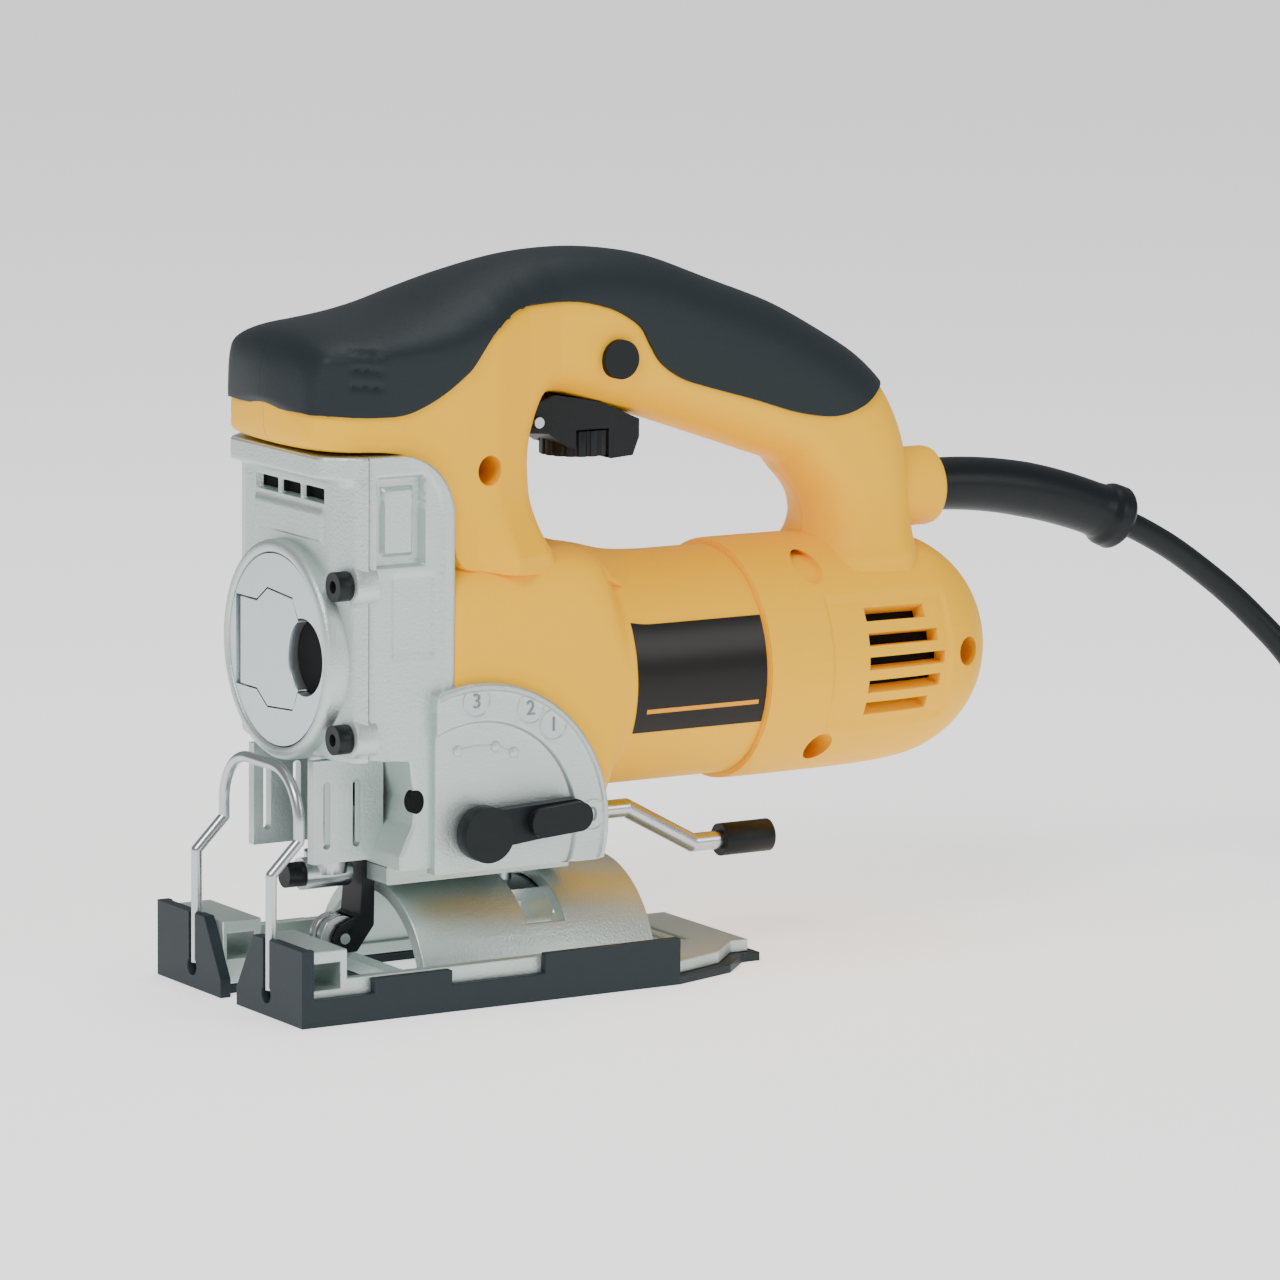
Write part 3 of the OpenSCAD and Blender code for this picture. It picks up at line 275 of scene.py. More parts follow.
def tube_points(path, radii, sides=48):
    """Rings of the given radii square to a path: ring i, point k at angle k around it."""
    path = np.asarray(path, dtype=float)
    way = np.gradient(path, axis=0)
    way /= np.linalg.norm(way, axis=1)[:, None]
    side = np.cross(way, [0.0, 1.0, 0.0])
    side /= np.linalg.norm(side, axis=1)[:, None]
    other = np.cross(way, side)
    angle = np.linspace(0, 2 * math.pi, sides, endpoint=False)
    ring = side[:, None, :] * np.cos(angle)[None, :, None] + other[:, None, :] * np.sin(angle)[None, :, None]
    return path[:, None, :] + ring * np.asarray(radii, dtype=float)[:, None, None]


t = np.linspace(-0.12, 1.0, 120)
sleeve_line = np.stack([194 + 67 * t, 0 * t, 126 - 14.5 * np.clip(t, 0, 1) ** 2], axis=1)
sleeve_radius = np.interp(t, [-0.12, 0, 0.5, 0.86, 0.9, 0.93, 0.985, 1.0],
                          [7.3, 7.4, 7.9, 7.7, 8.0, 9.2, 9.4, 8.4])
sleeve = grid_object("bend_sleeve", tube_points(sleeve_line, sleeve_radius), black_rubber,
                     wrap_v=True, caps=True)
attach(sleeve, "body")
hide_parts("cord_sleeve")


def rounded_ring(half_a, half_b, power, count=48):
    """Superellipse outline as count points of (a, b)."""
    angle = np.linspace(0, 2 * math.pi, count, endpoint=False)
    c, s = np.cos(angle), np.sin(angle)
    a = half_a * np.sign(c) * np.abs(c) ** (2 / power)
    b = half_b * np.sign(s) * np.abs(s) ** (2 / power)
    return np.stack([a, b], axis=1)


# Sections of the plug: place along it, half-width, half-height and how square it is
plug_rows = [(-26, 4.4, 4.4, 2.0), (-23, 5.2, 5.2, 2.0), (-19, 6.2, 5.6, 2.4), (-15, 9.2, 6.6, 3.0),
             (-9, 10.6, 7.3, 4.0), (10, 10.8, 7.4, 5.0), (16.4, 10.6, 7.2, 5.0), (17.6, 9.8, 6.4, 5.0)]
plug_grid = []
for y, a, b, power in plug_rows:
    ring = rounded_ring(a, b, power)
    place_y = np.full(len(ring), coil_y + y)
    plug_grid.append(np.stack([plug_x + ring[:, 0], place_y, plug_z + ring[:, 1]], axis=1))
plug_body = grid_object("plug_body", plug_grid, black_pvc, wrap_v=True, caps=True)
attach(plug_body, "body")
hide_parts("plug")
for s in (-1, 1):
    x = plug_x + s * 6.35
    rows = []
    for y, w in ((17, 6.4), (33, 6.4), (34.6, 5.0)):
        rows.append([[x - 0.75, coil_y + y, plug_z - w / 2], [x + 0.75, coil_y + y, plug_z - w / 2],
                     [x + 0.75, coil_y + y, plug_z + w / 2], [x - 0.75, coil_y + y, plug_z + w / 2]])
    pin_name = "plug_pin_" + ("left" if s < 0 else "right")
    pin = grid_object(pin_name, rows, plated_brass, wrap_v=True, caps=True, smooth=False)
    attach(pin, "body")


# ---- Handle and head shells ----
# Two glass-filled nylon clamshells with spark-eroded faces, joined on the middle plane.
# They form the head over the gear case, the D-handle and its rear pillar.

# Glass-filled nylon from a spark-eroded tool: matt, with a fine even grain
yellow_nylon = plain_material("yellow_glass_filled_nylon", "#FFBE00", 0.5, grain_mm=0.5, grain_depth=0.25)
# Near-black for the floors of the cooling slots: painted shade deep inside them
painted_slot_shade = plain_material("painted_slot_shade", "#0C0D0E", 0.9)

# Pairs of points (x, z) on the outer outline and across from it on the handle opening, with the edge rounding
spokes = [
    (-19.5, 160, 58, 153, 3), (-19.5, 172.5, 59, 155.5, 3.5), (-17.5, 178.5, 60.2, 157.5, 5),
    (-12.5, 181.6, 61.2, 158.8, 7), (4, 183.2, 62.3, 159.6, 9), (18, 186.5, 63.6, 160, 12),
    (32, 191.7, 65.5, 160.2, 15), (54, 198, 69.5, 159.6, 17), (76, 199, 79, 156.3, 17),
    (98, 196, 96, 152, 17), (118, 188, 110, 147.3, 17), (138, 181, 124, 142.5, 17),
    (151, 174, 134, 139, 17), (166, 165.5, 141.5, 136.6, 17), (176, 156, 144, 133, 17),
    (182.6, 141.7, 148, 129, 16), (184.4, 125, 151, 125, 15), (184.4, 111, 152.7, 119, 14),
    (183, 95, 151.5, 114, 8), (170, 88, 148, 112.8, 4), (140, 88, 140, 113, 4),
    (122, 92, 122, 113.7, 4), (105, 95, 105, 114, 4), (88, 100, 88, 114.6, 4),
    (77, 108, 78, 117.6, 3), (60, 112, 70, 118.8, 2), (40, 114, 63, 119.8, 2),
    (24, 116, 60, 123, 1.4), (21.3, 122, 58.3, 127, 1.2), (20.5, 132, 57, 132.5, 1.0),
    (17, 141, 56.3, 139, 1.0), (12, 146.5, 56, 143.5, 1.0), (4, 150, 56.2, 147, 1.0),
    (-8, 150.2, 56.7, 149.8, 1.0), (-19, 150.8, 57.3, 151.4, 1.5)
]
loop = np.array(spokes + [spokes[0]], dtype=float)
dense = np.vstack([np.linspace(loop[i], loop[i + 1], 16, endpoint=False) for i in range(len(spokes))])
kernel = np.exp(-0.5 * (np.arange(-14, 15) / 5.5) ** 2)
kernel /= kernel.sum()
wrapped = np.vstack([dense[-14:], dense, dense[:14]])
smooth = np.stack([np.convolve(wrapped[:, k], kernel, mode="valid") for k in range(5)], axis=1)
outer_line, inner_line, outer_round = smooth[:, 0:2], smooth[:, 2:4], smooth[:, 4]


def distance_to(line, points):
    """Distance from each point to a closed polyline, with the place along it of the nearest corner."""
    flat = points.reshape(-1, 2)
    a, b = line, np.roll(line, -1, axis=0)
    ab = b - a
    best = np.full(len(flat), 1e9)
    where = np.zeros(len(flat), dtype=int)
    for i in range(len(line)):
        d = flat - a[i]
        t = np.clip((d @ ab[i]) / max(ab[i] @ ab[i], 1e-9), 0, 1)
        r = np.hypot(*(d - t[:, None] * ab[i]).T)
        nearer = r < best
        best[nearer] = r[nearer]
        where[nearer] = i
    return best.reshape(points.shape[:-1]), where.reshape(points.shape[:-1])


def half_width(x, z):
    """Half-width of the shells away from their edges: wide head, narrow bar, flare at the pillar's foot."""
    w = np.interp(x, [-20, -17.5, -14, -8, 2, 26, 38, 50, 62, 75, 100, 150, 190],
                  [14, 22, 25.2, 28, 30, 30, 27.5, 22, 18.6, 17.5, 17, 17, 16.5])
    foot = np.clip((128 - z) / 18, 0, 1) * np.clip((x - 120) / 14, 0, 1)
    shoulder = np.clip((136 - z) / 16, 0, 1)
    shoulder = shoulder * np.clip((x - 30) / 10, 0, 1) * np.clip((92 - x) / 16, 0, 1)
    return w + 6 * foot ** 2 + 8 * shoulder ** 1.5


def shell_height(points):
    """Height of the shell over the middle plane: half-width times a quarter-circle fall at both outlines."""
    d_out, near = distance_to(outer_line, points)
    d_in = distance_to(inner_line, points)[0]
    x, z = points[..., 0], points[..., 1]
    in_round = np.interp(x, [50, 62, 100, 140], [9, 11, 14, 12])
    s_out = np.clip(d_out / outer_round[near], 0, 1)
    s_in = np.clip(d_in / in_round, 0, 1)
    return half_width(x, z) * np.sqrt(1 - (1 - s_out) ** 2) * np.sqrt(1 - (1 - s_in) ** 2)


# Points from outline to opening, closer together at both, and the height of the shell over them
v = (1 - np.cos(np.linspace(0, math.pi, 64))) / 2
flat_points = outer_line[:, None, :] * (1 - v)[None, :, None] + inner_line[:, None, :] * v[None, :, None]
height = shell_height(flat_points)
seam = 0.12  # half of the gap between the shells


def circle(centre, radius, axis, count=48):
    """Circle square to axis 0, 1 or 2: centre plus radius times cosine and sine on the other two axes."""
    turn = np.linspace(0, 2 * math.pi, count, endpoint=False)
    points = np.tile(np.array(centre, dtype=float), (count, 1))
    across, upward = [k for k in range(3) if k != axis]
    points[:, across] += radius * np.cos(turn)
    points[:, upward] += radius * np.sin(turn)
    return points


def bored(host, name, rows):
    """Cuts the closed form through the given rings out of a host piece; the cutter itself never shows."""
    cutter = grid_object(name + "_cutter", rows, None, wrap_v=True, caps=True, smooth=False)
    cutter.hide_render = True
    cutter.hide_viewport = True
    cut = host.modifiers.new(name, "BOOLEAN")
    cut.object = cutter
    cut.operation = "DIFFERENCE"
    cut.solver = "EXACT"


shells = {}
for side, node in ((-1, "handle_left"), (1, "handle_right")):
    grid = np.stack([flat_points[..., 0], side * (seam + height), flat_points[..., 1]], axis=2)
    shell = grid_object("shell_" + node, grid, yellow_nylon, wrap_u=True, wrap_v=True)
    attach(shell, "body")
    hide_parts(node)
    shells[side] = shell
    # The plunger rises into a bore in the foot of the head at the top of its stroke
    bored(shell, "plunger_bore", [circle((0, 0, z), 6.2, 2) for z in (130, 174)])


# ---- Rubber grip ----
# Soft charcoal elastomer moulded over the top of each shell, about 1 mm proud of the nylon.
# Its lower edge sweeps up over the lock button and back down along the rear of the bar.

# Thermoplastic elastomer: a dull sheen over a fine spark-eroded grain
grip_rubber = plain_material("charcoal_elastomer", "#20282B", 0.5, grain_mm=0.45, grain_depth=0.35)

# Pairs of points (x, z) on the lower edge of the grip and on the crest of the handle above it
grip_pairs = [
    (-19.4, 161.5, -19.5, 162.5), (-16.5, 161.2, -19.5, 168.5), (-9, 160.6, -18.8, 176.5),
    (-1, 160.2, -14.5, 181.2), (8, 160.8, -4, 182.4), (17.7, 164.8, 8, 184),
    (26.8, 171.2, 20, 187.2), (33, 178, 30, 191), (39, 182.4, 40, 194.8),
    (46, 185.4, 50, 197.6), (53, 186.4, 60, 198.9), (67, 186.3, 74, 199.2),
    (77, 184.2, 84, 198.6), (83, 181.6, 93, 197), (88, 178, 101, 195),
    (90.8, 173.3, 108, 192.5), (94.5, 168, 116, 189), (101, 163.6, 124, 186),
    (109, 160.8, 132, 183), (125, 156.2, 145, 177.2), (140, 151.6, 156, 171.5),
    (152, 150, 164, 167), (161, 152, 170, 162.6), (168, 155.4, 174, 158.8),
    (173.5, 157.5, 175.8, 156.8)
]
grip_stations = 260
edge = spline([pair[:2] for pair in grip_pairs], grip_stations)
crest = spline([pair[2:] for pair in grip_pairs], grip_stations)
nearest = distance_to(outer_line, crest)[1]
crest = outer_line[nearest]
crest[1:-1] = (crest[:-2] + crest[1:-1] + crest[2:]) / 3
grip_rows = 44
v = (1 - np.cos(np.linspace(0, math.pi, grip_rows))) / 2
patch = edge[:, None, :] * (1 - v)[None, :, None] + crest[:, None, :] * v[None, :, None]
patch_height = shell_height(patch)
for side, node in ((-1, "grip_left"), (1, "grip_right")):
    base = np.stack([patch[..., 0], side * (seam + patch_height), patch[..., 1]], axis=2)
    normal = np.cross(np.gradient(base, axis=0), np.gradient(base, axis=1)) * -side
    normal[:, -1, 1] = 0
    normal /= np.maximum(np.linalg.norm(normal, axis=2), 1e-9)[..., None]
    # The rubber rises 1 mm over the nylon within a few rows of its edge, and its rim is sunk 0.5 mm
    rows = np.arange(grip_rows)
    columns = np.arange(grip_stations)
    from_ends = np.minimum(columns, grip_stations - 1 - columns)[:, None] / 2.0
    lift = np.minimum(np.minimum(rows[None, :] / 3.0, 1.0), from_ends)
    lift = np.sqrt(np.clip(1 - (1 - np.clip(lift, 0, 1)) ** 2, 0, 1)) * 1.5 - 0.5
    skin = base + normal * lift[..., None]
    skin[:, -1, 1] = side * 0.02
    # Finger ribs: three shallow grooves on the side of the head
    for z0 in (168.2, 172.6, 177.0):
        across = np.clip((5 - np.abs(skin[..., 0] + 4.5)) / 1.5, 0, 1)
        fall = np.exp(-((skin[..., 2] - z0 + 0.12 * (skin[..., 0] + 2)) / 0.75) ** 2) * across
        skin[..., 1] -= side * 0.9 * fall * (np.abs(skin[..., 1]) > 10)
    grip = grid_object("grip_" + ("left" if side < 0 else "right"), skin, grip_rubber)
    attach(grip, "body")
    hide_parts(node)


# ---- Motor barrel ----
# One-piece yellow nylon tube round the stator, with a boxed shoulder where it meets the gear case.
# The black label film wraps round its side between the shoulder and the rear seam.

axis_z = 82.0
saddle_clear_r = 46.4


def smoothstep(t):
    """Soft step from 0 to 1: 3 t squared less 2 t cubed."""
    t = np.clip(t, 0, 1)
    return t * t * (3 - 2 * t)


def barrel_ring(x, angle, lift=0.0):
    """Section of the barrel at x: superellipse whose power falls from 7, a rounded box, to 2, a circle.

    Points closer to the shoe's bevel line than the saddle are pushed out to it.
    """
    top_blend = smoothstep((x - 68) / 18)
    low_blend = smoothstep((x - 62) / 14)
    side_blend = smoothstep((x - 56) / 24)
    half = 33.2 - 1.2 * side_blend + lift
    top = 119.2 - 5.2 * top_blend + lift
    bottom = 34.5 + 15.5 * low_blend - lift
    power = 7 - 5 * smoothstep((x - 62) / 16)
    c, s = np.cos(angle), np.sin(angle)
    up = np.where(s >= 0, top - axis_z, axis_z - bottom)
    y = half * np.sign(c) * np.abs(c) ** (2 / power)
    z = axis_z + up * np.sign(s) * np.abs(s) ** (2 / power)
    reach = np.hypot(y, z)
    push = np.where((reach < saddle_clear_r) & (z < 60), saddle_clear_r / np.maximum(reach, 1), 1)
    return np.stack([np.full(len(angle), float(x)), y * push, z * push], axis=1)


stations = np.concatenate([[20.9, 21.3, 21.9], np.linspace(24, 54, 12), np.linspace(55.5, 90, 40),
                           np.linspace(94, 119, 8), [121.0, 121.4, 121.6]])
angle = np.linspace(0, 2 * math.pi, 240, endpoint=False)
edge_dip = {20.9: -0.6, 21.3: -0.15, 121.4: -0.15, 121.6: -0.6}
barrel_rings = [barrel_ring(x, angle, edge_dip.get(round(float(x), 1), 0.0)) for x in stations]
barrel = grid_object("motor_barrel", barrel_rings, yellow_nylon, wrap_v=True, caps=True)
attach(barrel, "body")
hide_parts("motor_housing")

# Printed polyester film: smooth and a little glossy
label_black = plain_material("black_label_film", "#1B1917", 0.3)
label_gold = plain_material("yellow_label_print", "#F0A000", 0.35)


def label_patch(name, x0, x1, z0, z1, lift, side, material):
    """Patch of film that follows the barrel between two stations and two heights, with its edges sunk in."""
    a0, a1 = math.asin((z0 - axis_z) / 32), math.asin((z1 - axis_z) / 32)
    x_rows = np.concatenate([[x0, x0], np.linspace(x0 + 0.15, x1 - 0.15, 40), [x1, x1]])
    a_rows = np.concatenate([[a0, a0], np.linspace(a0 + 0.004, a1 - 0.004, 30), [a1, a1]])
    rows = []
    for i, x in enumerate(x_rows):
        row = barrel_ring(x, a_rows, lift)
        sunk = barrel_ring(x, a_rows, -0.3)
        if i in (0, len(x_rows) - 1):
            row = sunk
        row[[0, -1]] = sunk[[0, -1]]
        rows.append(row * [1, side, 1])
    return grid_object(name, rows, material)


for side, node in ((-1, "label_left"), (1, "label_right")):
    film = label_patch("label_film_" + node[6:], 79.2, 120.8, 68.6, 98.0, 0.22, side, label_black)
    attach(film, "body")
    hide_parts(node)
    stripe = label_patch("label_stripe_" + node[6:], 82.5, 118.5, 74.0, 75.2, 0.26, side, label_gold)
    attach(stripe, "body")


# ---- Rear cup ----
# The brush end: the two shells close round the motor in a domed cup with five cooling slots a side.
# Screw recesses are sunk into the left side; the boss of the bend sleeve stands on the rear pillar.

cup_r = 33.3
profile = spline([[121.7, 32.9], [122.3, 33.6], [132, 33.7], [150, 33.6], [166, 33.3], [178, 32.4],
                  [186, 30.6], [193, 27.2], [199, 22.2], [203.5, 15.8], [206, 9.5], [207.2, 4],
                  [207.5, 0.35]], 230)
# Heights of the slots over the motor axis, and how far back each one runs
slot_heights = (14.0, 7.1, 0.3, -6.4, -12.9)
slot_ends = (174, 177.5, 180, 178.5, 175)
slot_x0 = 154.6
slot_depth = 5.0
slot_edges = sorted(math.asin((h + e) / cup_r) for h in slot_heights for e in (-1.85, -1.55, 1.55, 1.85))

# Angles round the cup: every slot edge on both sides, and evenly spread ones over the top and the bottom
right_arc = np.array(slot_edges)
top_arc = np.linspace(right_arc[-1], math.pi - right_arc[-1], 60)[1:-1]
left_arc = math.pi - right_arc[::-1]
low_arc = np.linspace(math.pi - right_arc[0], 2 * math.pi + right_arc[0], 60)[1:-1]
around = np.concatenate([right_arc, top_arc, left_arc, low_arc])
slot_stations = [154.4, 154.9, *slot_ends, *(end + 0.5 for end in slot_ends)]
x_rows = np.unique(np.round(np.concatenate([profile[:, 0], slot_stations]), 3))
radius = np.interp(x_rows, profile[:, 0], profile[:, 1])
height_at = np.sin(around) * cup_r
dip = np.zeros((len(x_rows), len(around)))
for h, end in zip(slot_heights, slot_ends):
    along = (x_rows > slot_x0) & (x_rows < end + 0.2)
    dip[along[:, None] & (np.abs(height_at - h) < 1.65)[None, :]] = slot_depth
# Shallow flat-bottomed frame sunk round the slots
frame_along = smoothstep((x_rows - 141.5) / 1.2)[:, None] * smoothstep((183 - x_rows) / 1.5)[:, None]
frame_across = smoothstep((18.2 - np.abs(height_at - 0.6)) / 1.0)[None, :]
r = radius[:, None] - dip
r = r - 0.9 * (frame_along * frame_across)
cup_points = np.stack([np.broadcast_to(x_rows[:, None], r.shape), r * np.cos(around)[None, :],
                       axis_z + r * np.sin(around)[None, :]], axis=2)
cup = grid_object("rear_cup", cup_points, yellow_nylon, wrap_v=True, caps=True)
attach(cup, "body")
# The floors of the cooling slots take the near-black material: painted shade inside the slots
cup.data.materials.append(painted_slot_shade)
for face in cup.data.polygons:
    x, y, z = np.array(face.center) / MM
    floor_r = np.interp(x, profile[:, 0], profile[:, 1]) - 4.2
    if 154.5 < x < 181 and np.hypot(y, z - axis_z) < floor_r:
        face.material_index = 1

boss_line = np.array([[x, 0, 126] for x in (176, 192.6, 193.8, 194.4, 194.5)], dtype=float)
boss = grid_object("sleeve_boss", tube_points(boss_line, [11.2, 11.2, 10.9, 10.2, 7.6]), yellow_nylon,
                   wrap_v=True, caps=True)
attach(boss, "body")

# Zinc-plated thread-forming screws, dulled by the shade of their recesses
screw_dark = plain_material("zinc_screw_steel", "#8A8478", 0.4, metallic=1.0)
recess_r = 4.1
# Place of each recess, the Y of its floor and the piece it is sunk in
recesses = [(34.2, 143.7, -16.0, shells[-1]), (141.2, 108.8, -9.0, cup), (142.7, 58.8, -9.0, cup),
            (189.9, 82.6, -17.0, cup)]
for i, (x, z, floor_y, host) in enumerate(recesses):
    bored(host, "recess_%d" % i, [circle((x, y, z), recess_r, 1) for y in (floor_y, -50)])
    head_profile = ((1, 3.4), (-1.0, 3.4), (-1.5, 3.0), (-1.5, 1.6), (-0.2, 1.4))
    head_rows = [circle((x, floor_y + y, z), q, 1) for y, q in head_profile]
    head = grid_object("shell_screw_%d" % i, head_rows, screw_dark, wrap_v=True, caps=True)
    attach(head, "body")
    if i == 0:
        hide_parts("housing_screws")


# ---- Gear case ----
# Bare aluminium die casting with a sandy skin: a front cover with the round knob boss, on a deep case.
# The case carries a flange under the head, a side pocket and the quadrant of the orbit lever.

# Die casting: a pale grey skin with a sandy grain, drawn a little coarser than the real 0.3 mm so it shows.
# Machined faces: brighter and smoother, with only a trace of grain. Cavities: no light comes back.
cast_alloy = plain_material("die_cast_aluminium", "#C3D0CC", 0.44, metallic=0.8,
                            grain_mm=0.8, grain_depth=0.8, mottle=0.06)
machined_alloy = plain_material("machined_aluminium", "#C9D1D4", 0.3, metallic=0.92,
                                grain_mm=0.4, grain_depth=0.2, mottle=0.05)
shadow_black = plain_material("unlit_cavity", "#0B0D0E", 0.85)


def zone(value, low, high, soft):
    """1 between low and high, 0 outside, with a soft edge."""
    return smoothstep((value - low) / soft + 0.5) * smoothstep((high - value) / soft + 0.5)


def plan_line(corners, width, count):
    """Open plan outline, each point averaged with its neighbours over a width, then spread evenly."""
    line = resample(corners, 600)
    kernel = np.ones(width) / width
    before = np.repeat(line[:1], width // 2, axis=0)
    after = np.repeat(line[-1:], width - 1 - width // 2, axis=0)
    padded = np.vstack([before, line, after])
    line = np.stack([np.convolve(padded[:, k], kernel, mode="valid") for k in range(2)], axis=1)
    return resample(line, count)


# Rows up the cover, with extra ones at the edges of the vent slots, the step and the top
cover_edges = [136.7, 137.2, 140.3, 140.8, 143.6, 144.4, 149.4, 149.9]
cover_rows = np.unique(np.concatenate([np.linspace(68.2, 150, 118), cover_edges]))
cover_grid = []
for z in cover_rows:
    out = smoothstep((z - 142.2) / 2.4)
    edge_in = 0.5 if z > 149.7 or z < 68.5 else 0.0
    front = -12 - 4.7 * out + edge_in
    width = 23.6 + 0.6 * out
    side_x = -8.6 + 0.6 * out
    half_plan = [[-5.1, 33 - edge_in], [side_x, 32.2 - edge_in], [front, width]]
    near_plan = [[x, -y] for x, y in half_plan]
    line = plan_line(near_plan + half_plan[::-1], 34, 150)
    y = line[:, 1]
    panel = zone(z, 126.6, 134.6, 0.7) * zone(y, -19.5, 17.5, 0.9)
    slots = zone(y, -20, -8.4, 0.5) + zone(y, -7, 4, 0.5) + zone(y, 5.4, 17, 0.5)
    groove = zone(z, 137.0, 140.6, 0.5) * slots
    line[:, 0] += 2.6 * groove - 0.7 * panel
    cover_grid.append(np.stack([line[:, 0], line[:, 1], np.full(len(y), z)], axis=1))
cover = grid_object("gear_case_cover_casting", cover_grid, cast_alloy, wrap_v=True, caps=True)
cover.data.materials.append(shadow_black)
for face in cover.data.polygons:
    x, y, z = np.array(face.center) / MM
    if 137.2 < z < 140.4 and -10.4 < x < -8.9 and abs(y) < 20.5:
        face.material_index = 1
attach(cover, "body")
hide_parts("gear_case_cover")


def turned(name, profile, y, z, material, sides):
    """Piece turned about a line along X: profile is a list of (x, radius)."""
    rows = [circle((x, y, z), r, 0, sides) for x, r in profile]
    return grid_object(name, rows, material, wrap_v=True, caps=True)


knob_z = 95.0
ring_profile = [(-5.2, 29.8), (-14.2, 29.8), (-15.0, 29.6), (-15.7, 29.1), (-16.0, 28.4), (-16.0, 27.2),
                (-15.8, 26.7), (-15.4, 26.4), (-9.2, 26.4), (-9.2, 5.2), (-5.4, 5.2)]
ring = turned("knob_boss_ring", ring_profile, 0, knob_z, cast_alloy, 160)
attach(ring, "body")
ear_profile = [(-3, 6.0), (-8.4, 5.9), (-9.2, 5.6), (-9.5, 5.0), (-9.5, 1)]
for z in (74.5, 115.7):
    ear = turned("screw_boss", ear_profile, -28.5, z, cast_alloy, 48)
    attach(ear, "body")

# Rows up the case: the nose below the cover, the flat sides with the pocket, and the rounded rear top
case_rows = np.unique(np.concatenate([np.linspace(38, 149, 170), [149.5, 149.9, 119.7, 120.3, 143.7, 144.3]]))
saddle_r = 46.3
across_case = 56
case_grid = []
for z in case_rows:
    rear = 20.9 if z < 133 else 4 + 16.9 * math.sqrt(max(1 - ((z - 133) / 17.0) ** 2, 0))
    if z < 66:
        front = float(np.interp(z, [38, 42, 50, 57, 62, 66], [4.5, 4.5, 8.4, 9.2, 8.2, 7.7]))
    else:
        front = float(np.interp(z, [66, 67.5, 68.5], [7.7, 7.7, -4.95]))
    span = np.linspace(0, 1, across_case)
    x = front + (rear - front) * span
    rim = smoothstep((x - rear + 4.2) / 0.9) * 0.7
    side = 32.6 + rim
    side = side - 2.6 * zone(z, 120.5, 144.2, 1.0) * zone(x, -2.6, 11.5, 1.0)
    side = side + 1.5 * zone(z, 123.5, 141.2, 0.9) * zone(x, -0.2, 8.8, 0.9)
    side = side - 0.5 * zone(z, 96, 118, 1.2) * zone(x, 2, 14.5, 1.2)
    edge_in = np.clip(0.9 - np.minimum(span, 1 - span) * (rear - front), 0, 0.9)
    side = side - edge_in * 0.6
    near_side = np.stack([x, -side, np.full(across_case, z)], axis=1)
    far_side = near_side[::-1] * [1, -1, 1]
    row = np.vstack([near_side, far_side])
    reach = np.hypot(row[:, 1], row[:, 2])
    push = np.where((reach < saddle_r) & (z < 60), saddle_r / np.maximum(reach, 1), 1)
    row[:, 1:] *= push[:, None]
    case_grid.append(row)
case = grid_object("gear_case_casting", case_grid, cast_alloy, wrap_v=True, caps=True)
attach(case, "body")

turn = np.linspace(0, 2 * math.pi, 40, endpoint=False)
hole_rows = [np.stack([9.4 + 2.3 * np.cos(turn), np.full(40, y), 56.4 + 3.2 * np.sin(turn)], axis=1)
             for y in (-32.72, -30.0)]
hole = grid_object("inspection_hole", hole_rows, shadow_black, wrap_v=True, caps=True, smooth=False)
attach(hole, "body")

# Quadrant of the orbit lever: rings about the lever's axis, cut off square at the case and at the saddle
quad_x, quad_z = 27.6, 47.0
quad_left, quad_foot = 14.2, 36.2
radii = np.sort(np.concatenate([np.linspace(0.5, 29.2, 34), [29.6, 29.8, 30.0, 30.3, 30.6],
                                np.linspace(31, 38, 14),
                                [38.3, 38.6, 38.9, 39.6, 40.1, 40.4, 40.5, 40.5001]]))
sweep = np.radians(np.linspace(0, 360, 240, endpoint=False))
leftward, downward = -np.cos(sweep), -np.sin(sweep)
left_reach = np.where(leftward > 0.01, (quad_x - quad_left) / np.maximum(leftward, 0.01), 99)
foot_reach = np.where(downward > 0.01, (quad_z - quad_foot) / np.maximum(downward, 0.01), 99)
edge_reach = np.minimum(left_reach, foot_reach)
step_in = 0.01 * np.arange(len(radii))[::-1]
reach = np.minimum(radii[:, None], edge_reach[None, :] - step_in[:, None])
gx = quad_x + reach * np.cos(sweep)[None, :]
gz = quad_z + reach * np.sin(sweep)[None, :]
# Half-thickness by radius: a recessed fan, a raised band for the digits and a rounded rim
gy = np.interp(reach, [0, 29.55, 30.35, 38.2, 38.9, 39.6, 40.2, 40.5],
               [34.3, 34.3, 35.3, 35.3, 36.0, 36.0, 35.7, 35.1])
gy[-1] = 30.0
for side, place in ((-1, "near"), (1, "far")):
    quad = grid_object("quadrant_" + place, np.stack([gx, side * gy, gz], axis=2), cast_alloy, wrap_v=True)
    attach(quad, "body")
    if side < 0:
        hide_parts("gear_case")
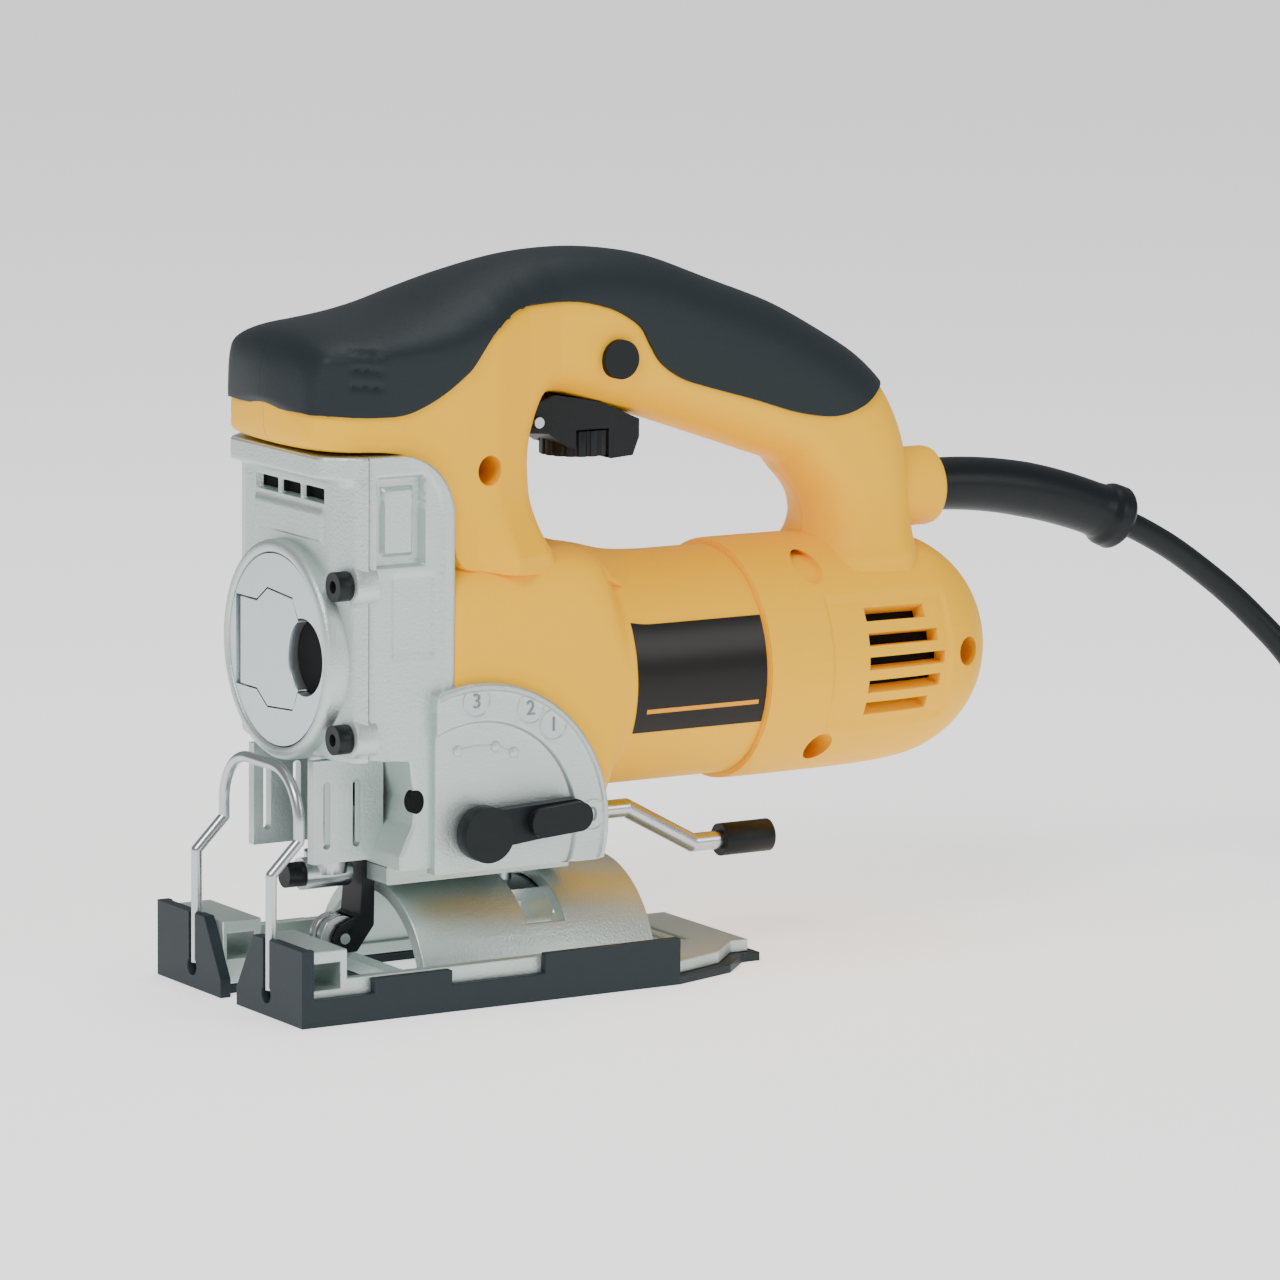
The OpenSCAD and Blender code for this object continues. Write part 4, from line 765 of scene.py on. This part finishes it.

# Digits of the four settings, cast a little proud, each with a fine ring round it
# The digits are drawn a darker grey than the casting: painted shade that makes the cast relief read
painted_shade_marks = plain_material("cast_relief_painted_shade", "#7F8A8F", 0.5, metallic=0.6)
digits = (("0", 63, 48.6), ("1", 50.5, 74.4), ("2", 43.3, 79.4), ("3", 26.5, 82.6))
turn = np.linspace(0, 2 * math.pi, 64, endpoint=False)[:, None]
tube = np.linspace(0, 2 * math.pi, 10, endpoint=False)[None, :]
for text, x, z in digits:
    letter = bpy.data.curves.new("letter_" + text, "FONT")
    letter.body = text
    letter.size = 5.6 * MM
    letter.extrude = 0.18 * MM
    letter.align_x = "CENTER"
    letter.align_y = "CENTER"
    letter.materials.append(painted_shade_marks)
    drawn = bpy.data.objects.new("letter_" + text, letter)
    bpy.context.scene.collection.objects.link(drawn)
    bpy.context.view_layer.update()
    shape = bpy.data.meshes.new_from_object(drawn.evaluated_get(bpy.context.evaluated_depsgraph_get()))
    bpy.data.objects.remove(drawn)
    shape.transform(Matrix.Translation((x * MM, -35.4 * MM, z * MM)) @ Matrix.Rotation(math.pi / 2, 4, "X"))
    sign = bpy.data.objects.new("digit_" + text, shape)
    bpy.context.scene.collection.objects.link(sign)
    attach(sign, "body")
    out = 4.1 + 0.28 * np.cos(tube)
    lift = np.broadcast_to(-35.32 + 0.3 * np.sin(tube), (64, 10))
    loop_rows = np.stack([x + out * np.cos(turn), lift, z + out * np.sin(turn)], axis=2)
    ring = grid_object("digit_ring_" + text, loop_rows, cast_alloy, wrap_u=True, wrap_v=True)
    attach(ring, "body")

# Pips and the fine rib that joins them, on the fan
pip_r = 23.4
pip_profile = ((-34.2, 1.5), (-34.7, 1.4), (-34.95, 1.0), (-35.0, 0.3))
for degrees in (106, 77, 62):
    x = quad_x + pip_r * math.cos(math.radians(degrees))
    z = quad_z + pip_r * math.sin(math.radians(degrees))
    dome = [circle((x, y, z), r, 1, 64) for y, r in pip_profile]
    pip = grid_object("setting_pip", dome, cast_alloy, wrap_v=True, caps=True)
    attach(pip, "body")
arc = np.radians(np.linspace(106, 62, 40))[:, None]
tube = np.linspace(0, 2 * math.pi, 8, endpoint=False)[None, :]
rib_r = pip_r + 0.25 * np.cos(tube)
rib_y = np.broadcast_to(-34.32 + 0.25 * np.sin(tube), (40, 8))
rib_rows = np.stack([quad_x + rib_r * np.cos(arc), rib_y, quad_z + rib_r * np.sin(arc)], axis=2)
arc_rib = grid_object("setting_rib", rib_rows, cast_alloy, wrap_v=True, caps=True)
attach(arc_rib, "body")

# Finger well in the face of the flip knob
well = [circle((x, -15, knob_z), 10.4, 0, 64) for x in (-12.4, -10.7)]
finger_well = grid_object("finger_well", well, shadow_black, wrap_v=True, caps=True, smooth=False)
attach(finger_well, "release_knob")

# Rail under the case that the saddle bears against: place along it, half-width, foot and top, edges eased
rail_sections = ((9.6, 16.2, 31.2, 35.6), (10, 16.5, 30.9, 35.9), (66.6, 16.5, 30.9, 35.9),
                 (67, 16.2, 31.2, 35.6))
rail_rows = [[[x, -y, foot], [x, y, foot], [x, y, top], [x, -y, top]] for x, y, foot, top in rail_sections]
rail = grid_object("saddle_rail", rail_rows, cast_alloy, wrap_v=True, caps=True, smooth=False)
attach(rail, "body")


# ---- CAD pieces that show as they are ----
# Castings, steel parts and mouldings whose CAD shape is already that of the real piece.
# They keep it, with their edges softened and the finish of the real material.

# Zinc-plated and blackened steels: bright and dark. Nylons: matt with a fine spark-eroded grain.
# Sintered bronze: brown and dull. Laminated steel: dark varnish over a fine grain. Copper: turned bright.
steel_bright = plain_material("zinc_plated_steel", "#BFC4C6", 0.28, metallic=1.0, mottle=0.06)
steel_black = plain_material("blackened_steel", "#1D2022", 0.42, metallic=0.6)
moulded_black = plain_material("black_glass_filled_nylon", "#14191C", 0.46, grain_mm=0.5, grain_depth=0.25)
cover_grey = plain_material("charcoal_glass_filled_nylon", "#262F33", 0.5, grain_mm=0.5, grain_depth=0.3)
laminated_steel = plain_material("varnished_laminated_steel", "#4A4540", 0.45, metallic=0.7,
                                 grain_mm=0.5, grain_depth=0.5)
turned_copper = plain_material("turned_copper", "#B8744A", 0.3, metallic=1.0, mottle=0.05)
brush_carbon = plain_material("brush_carbon", "#232323", 0.6, grain_mm=0.3, grain_depth=0.3)
sintered_bronze = plain_material("sintered_bronze", "#A8874A", 0.4, metallic=1.0)

# Outer pieces, each with its material and the width in millimetres by which its edges are softened
soft_edges = {
    "shoe_plate": (cast_alloy, 0.45), "shoe_cover": (cover_grey, 0.5), "release_knob": (machined_alloy, 0.3),
    "knob_tab": (machined_alloy, 0.35), "orbit_lever": (moulded_black, 0.5), "trigger": (moulded_black, 0.6),
    "speed_dial": (moulded_black, 0.3), "lever_tip": (moulded_black, 0.6), "blade_clamp": (steel_bright, 0.3),
    "clamp_screw": (steel_black, 0.25), "roller_arm": (steel_black, 0.3), "guide_roller": (steel_bright, 0.2),
    "roller_pin": (steel_bright, 0.2), "gear_case_screws": (steel_black, 0.3),
    "lock_button": (moulded_black, 0.5)
}
# Wires, rods, hidden machinery and the ribbed nose, which keep the edges that they have
plain_nodes = [
    (cast_alloy, ("nose_guide", "bearing_plate")),
    (steel_bright, ("finger_guard", "bevel_lever", "clamp_stud", "shoe_clamp", "plunger", "roller_pivot",
                    "knob_hinge_pin", "orbit_shaft", "trigger_pin", "trigger_spring", "gear_axle",
                    "front_bearing", "rear_bearing", "armature_shaft")),
    (steel_black, ("drive_gear",)),
    (sintered_bronze, ("lower_bushing", "upper_bushing", "brush_holders")),
    (laminated_steel, ("rotor_core", "stator")),
    (turned_copper, ("commutator",)),
    (brush_carbon, ("brushes",)),
    (moulded_black, ("cooling_fan", "switch_body", "cord_clamp"))
]
for name, (material, width) in soft_edges.items():
    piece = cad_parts[name]
    piece.data.materials.clear()
    piece.data.materials.append(material)
    weld = piece.modifiers.new("weld", "WELD")
    weld.merge_threshold = 0.00001
    soften = piece.modifiers.new("soften", "BEVEL")
    soften.width = width * MM
    soften.segments = 2
    soften.limit_method = "ANGLE"
    soften.angle_limit = math.radians(35)
    soften.harden_normals = True
for material, names in plain_nodes:
    for name in names:
        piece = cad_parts[name]
        piece.data.materials.clear()
        piece.data.materials.append(material)
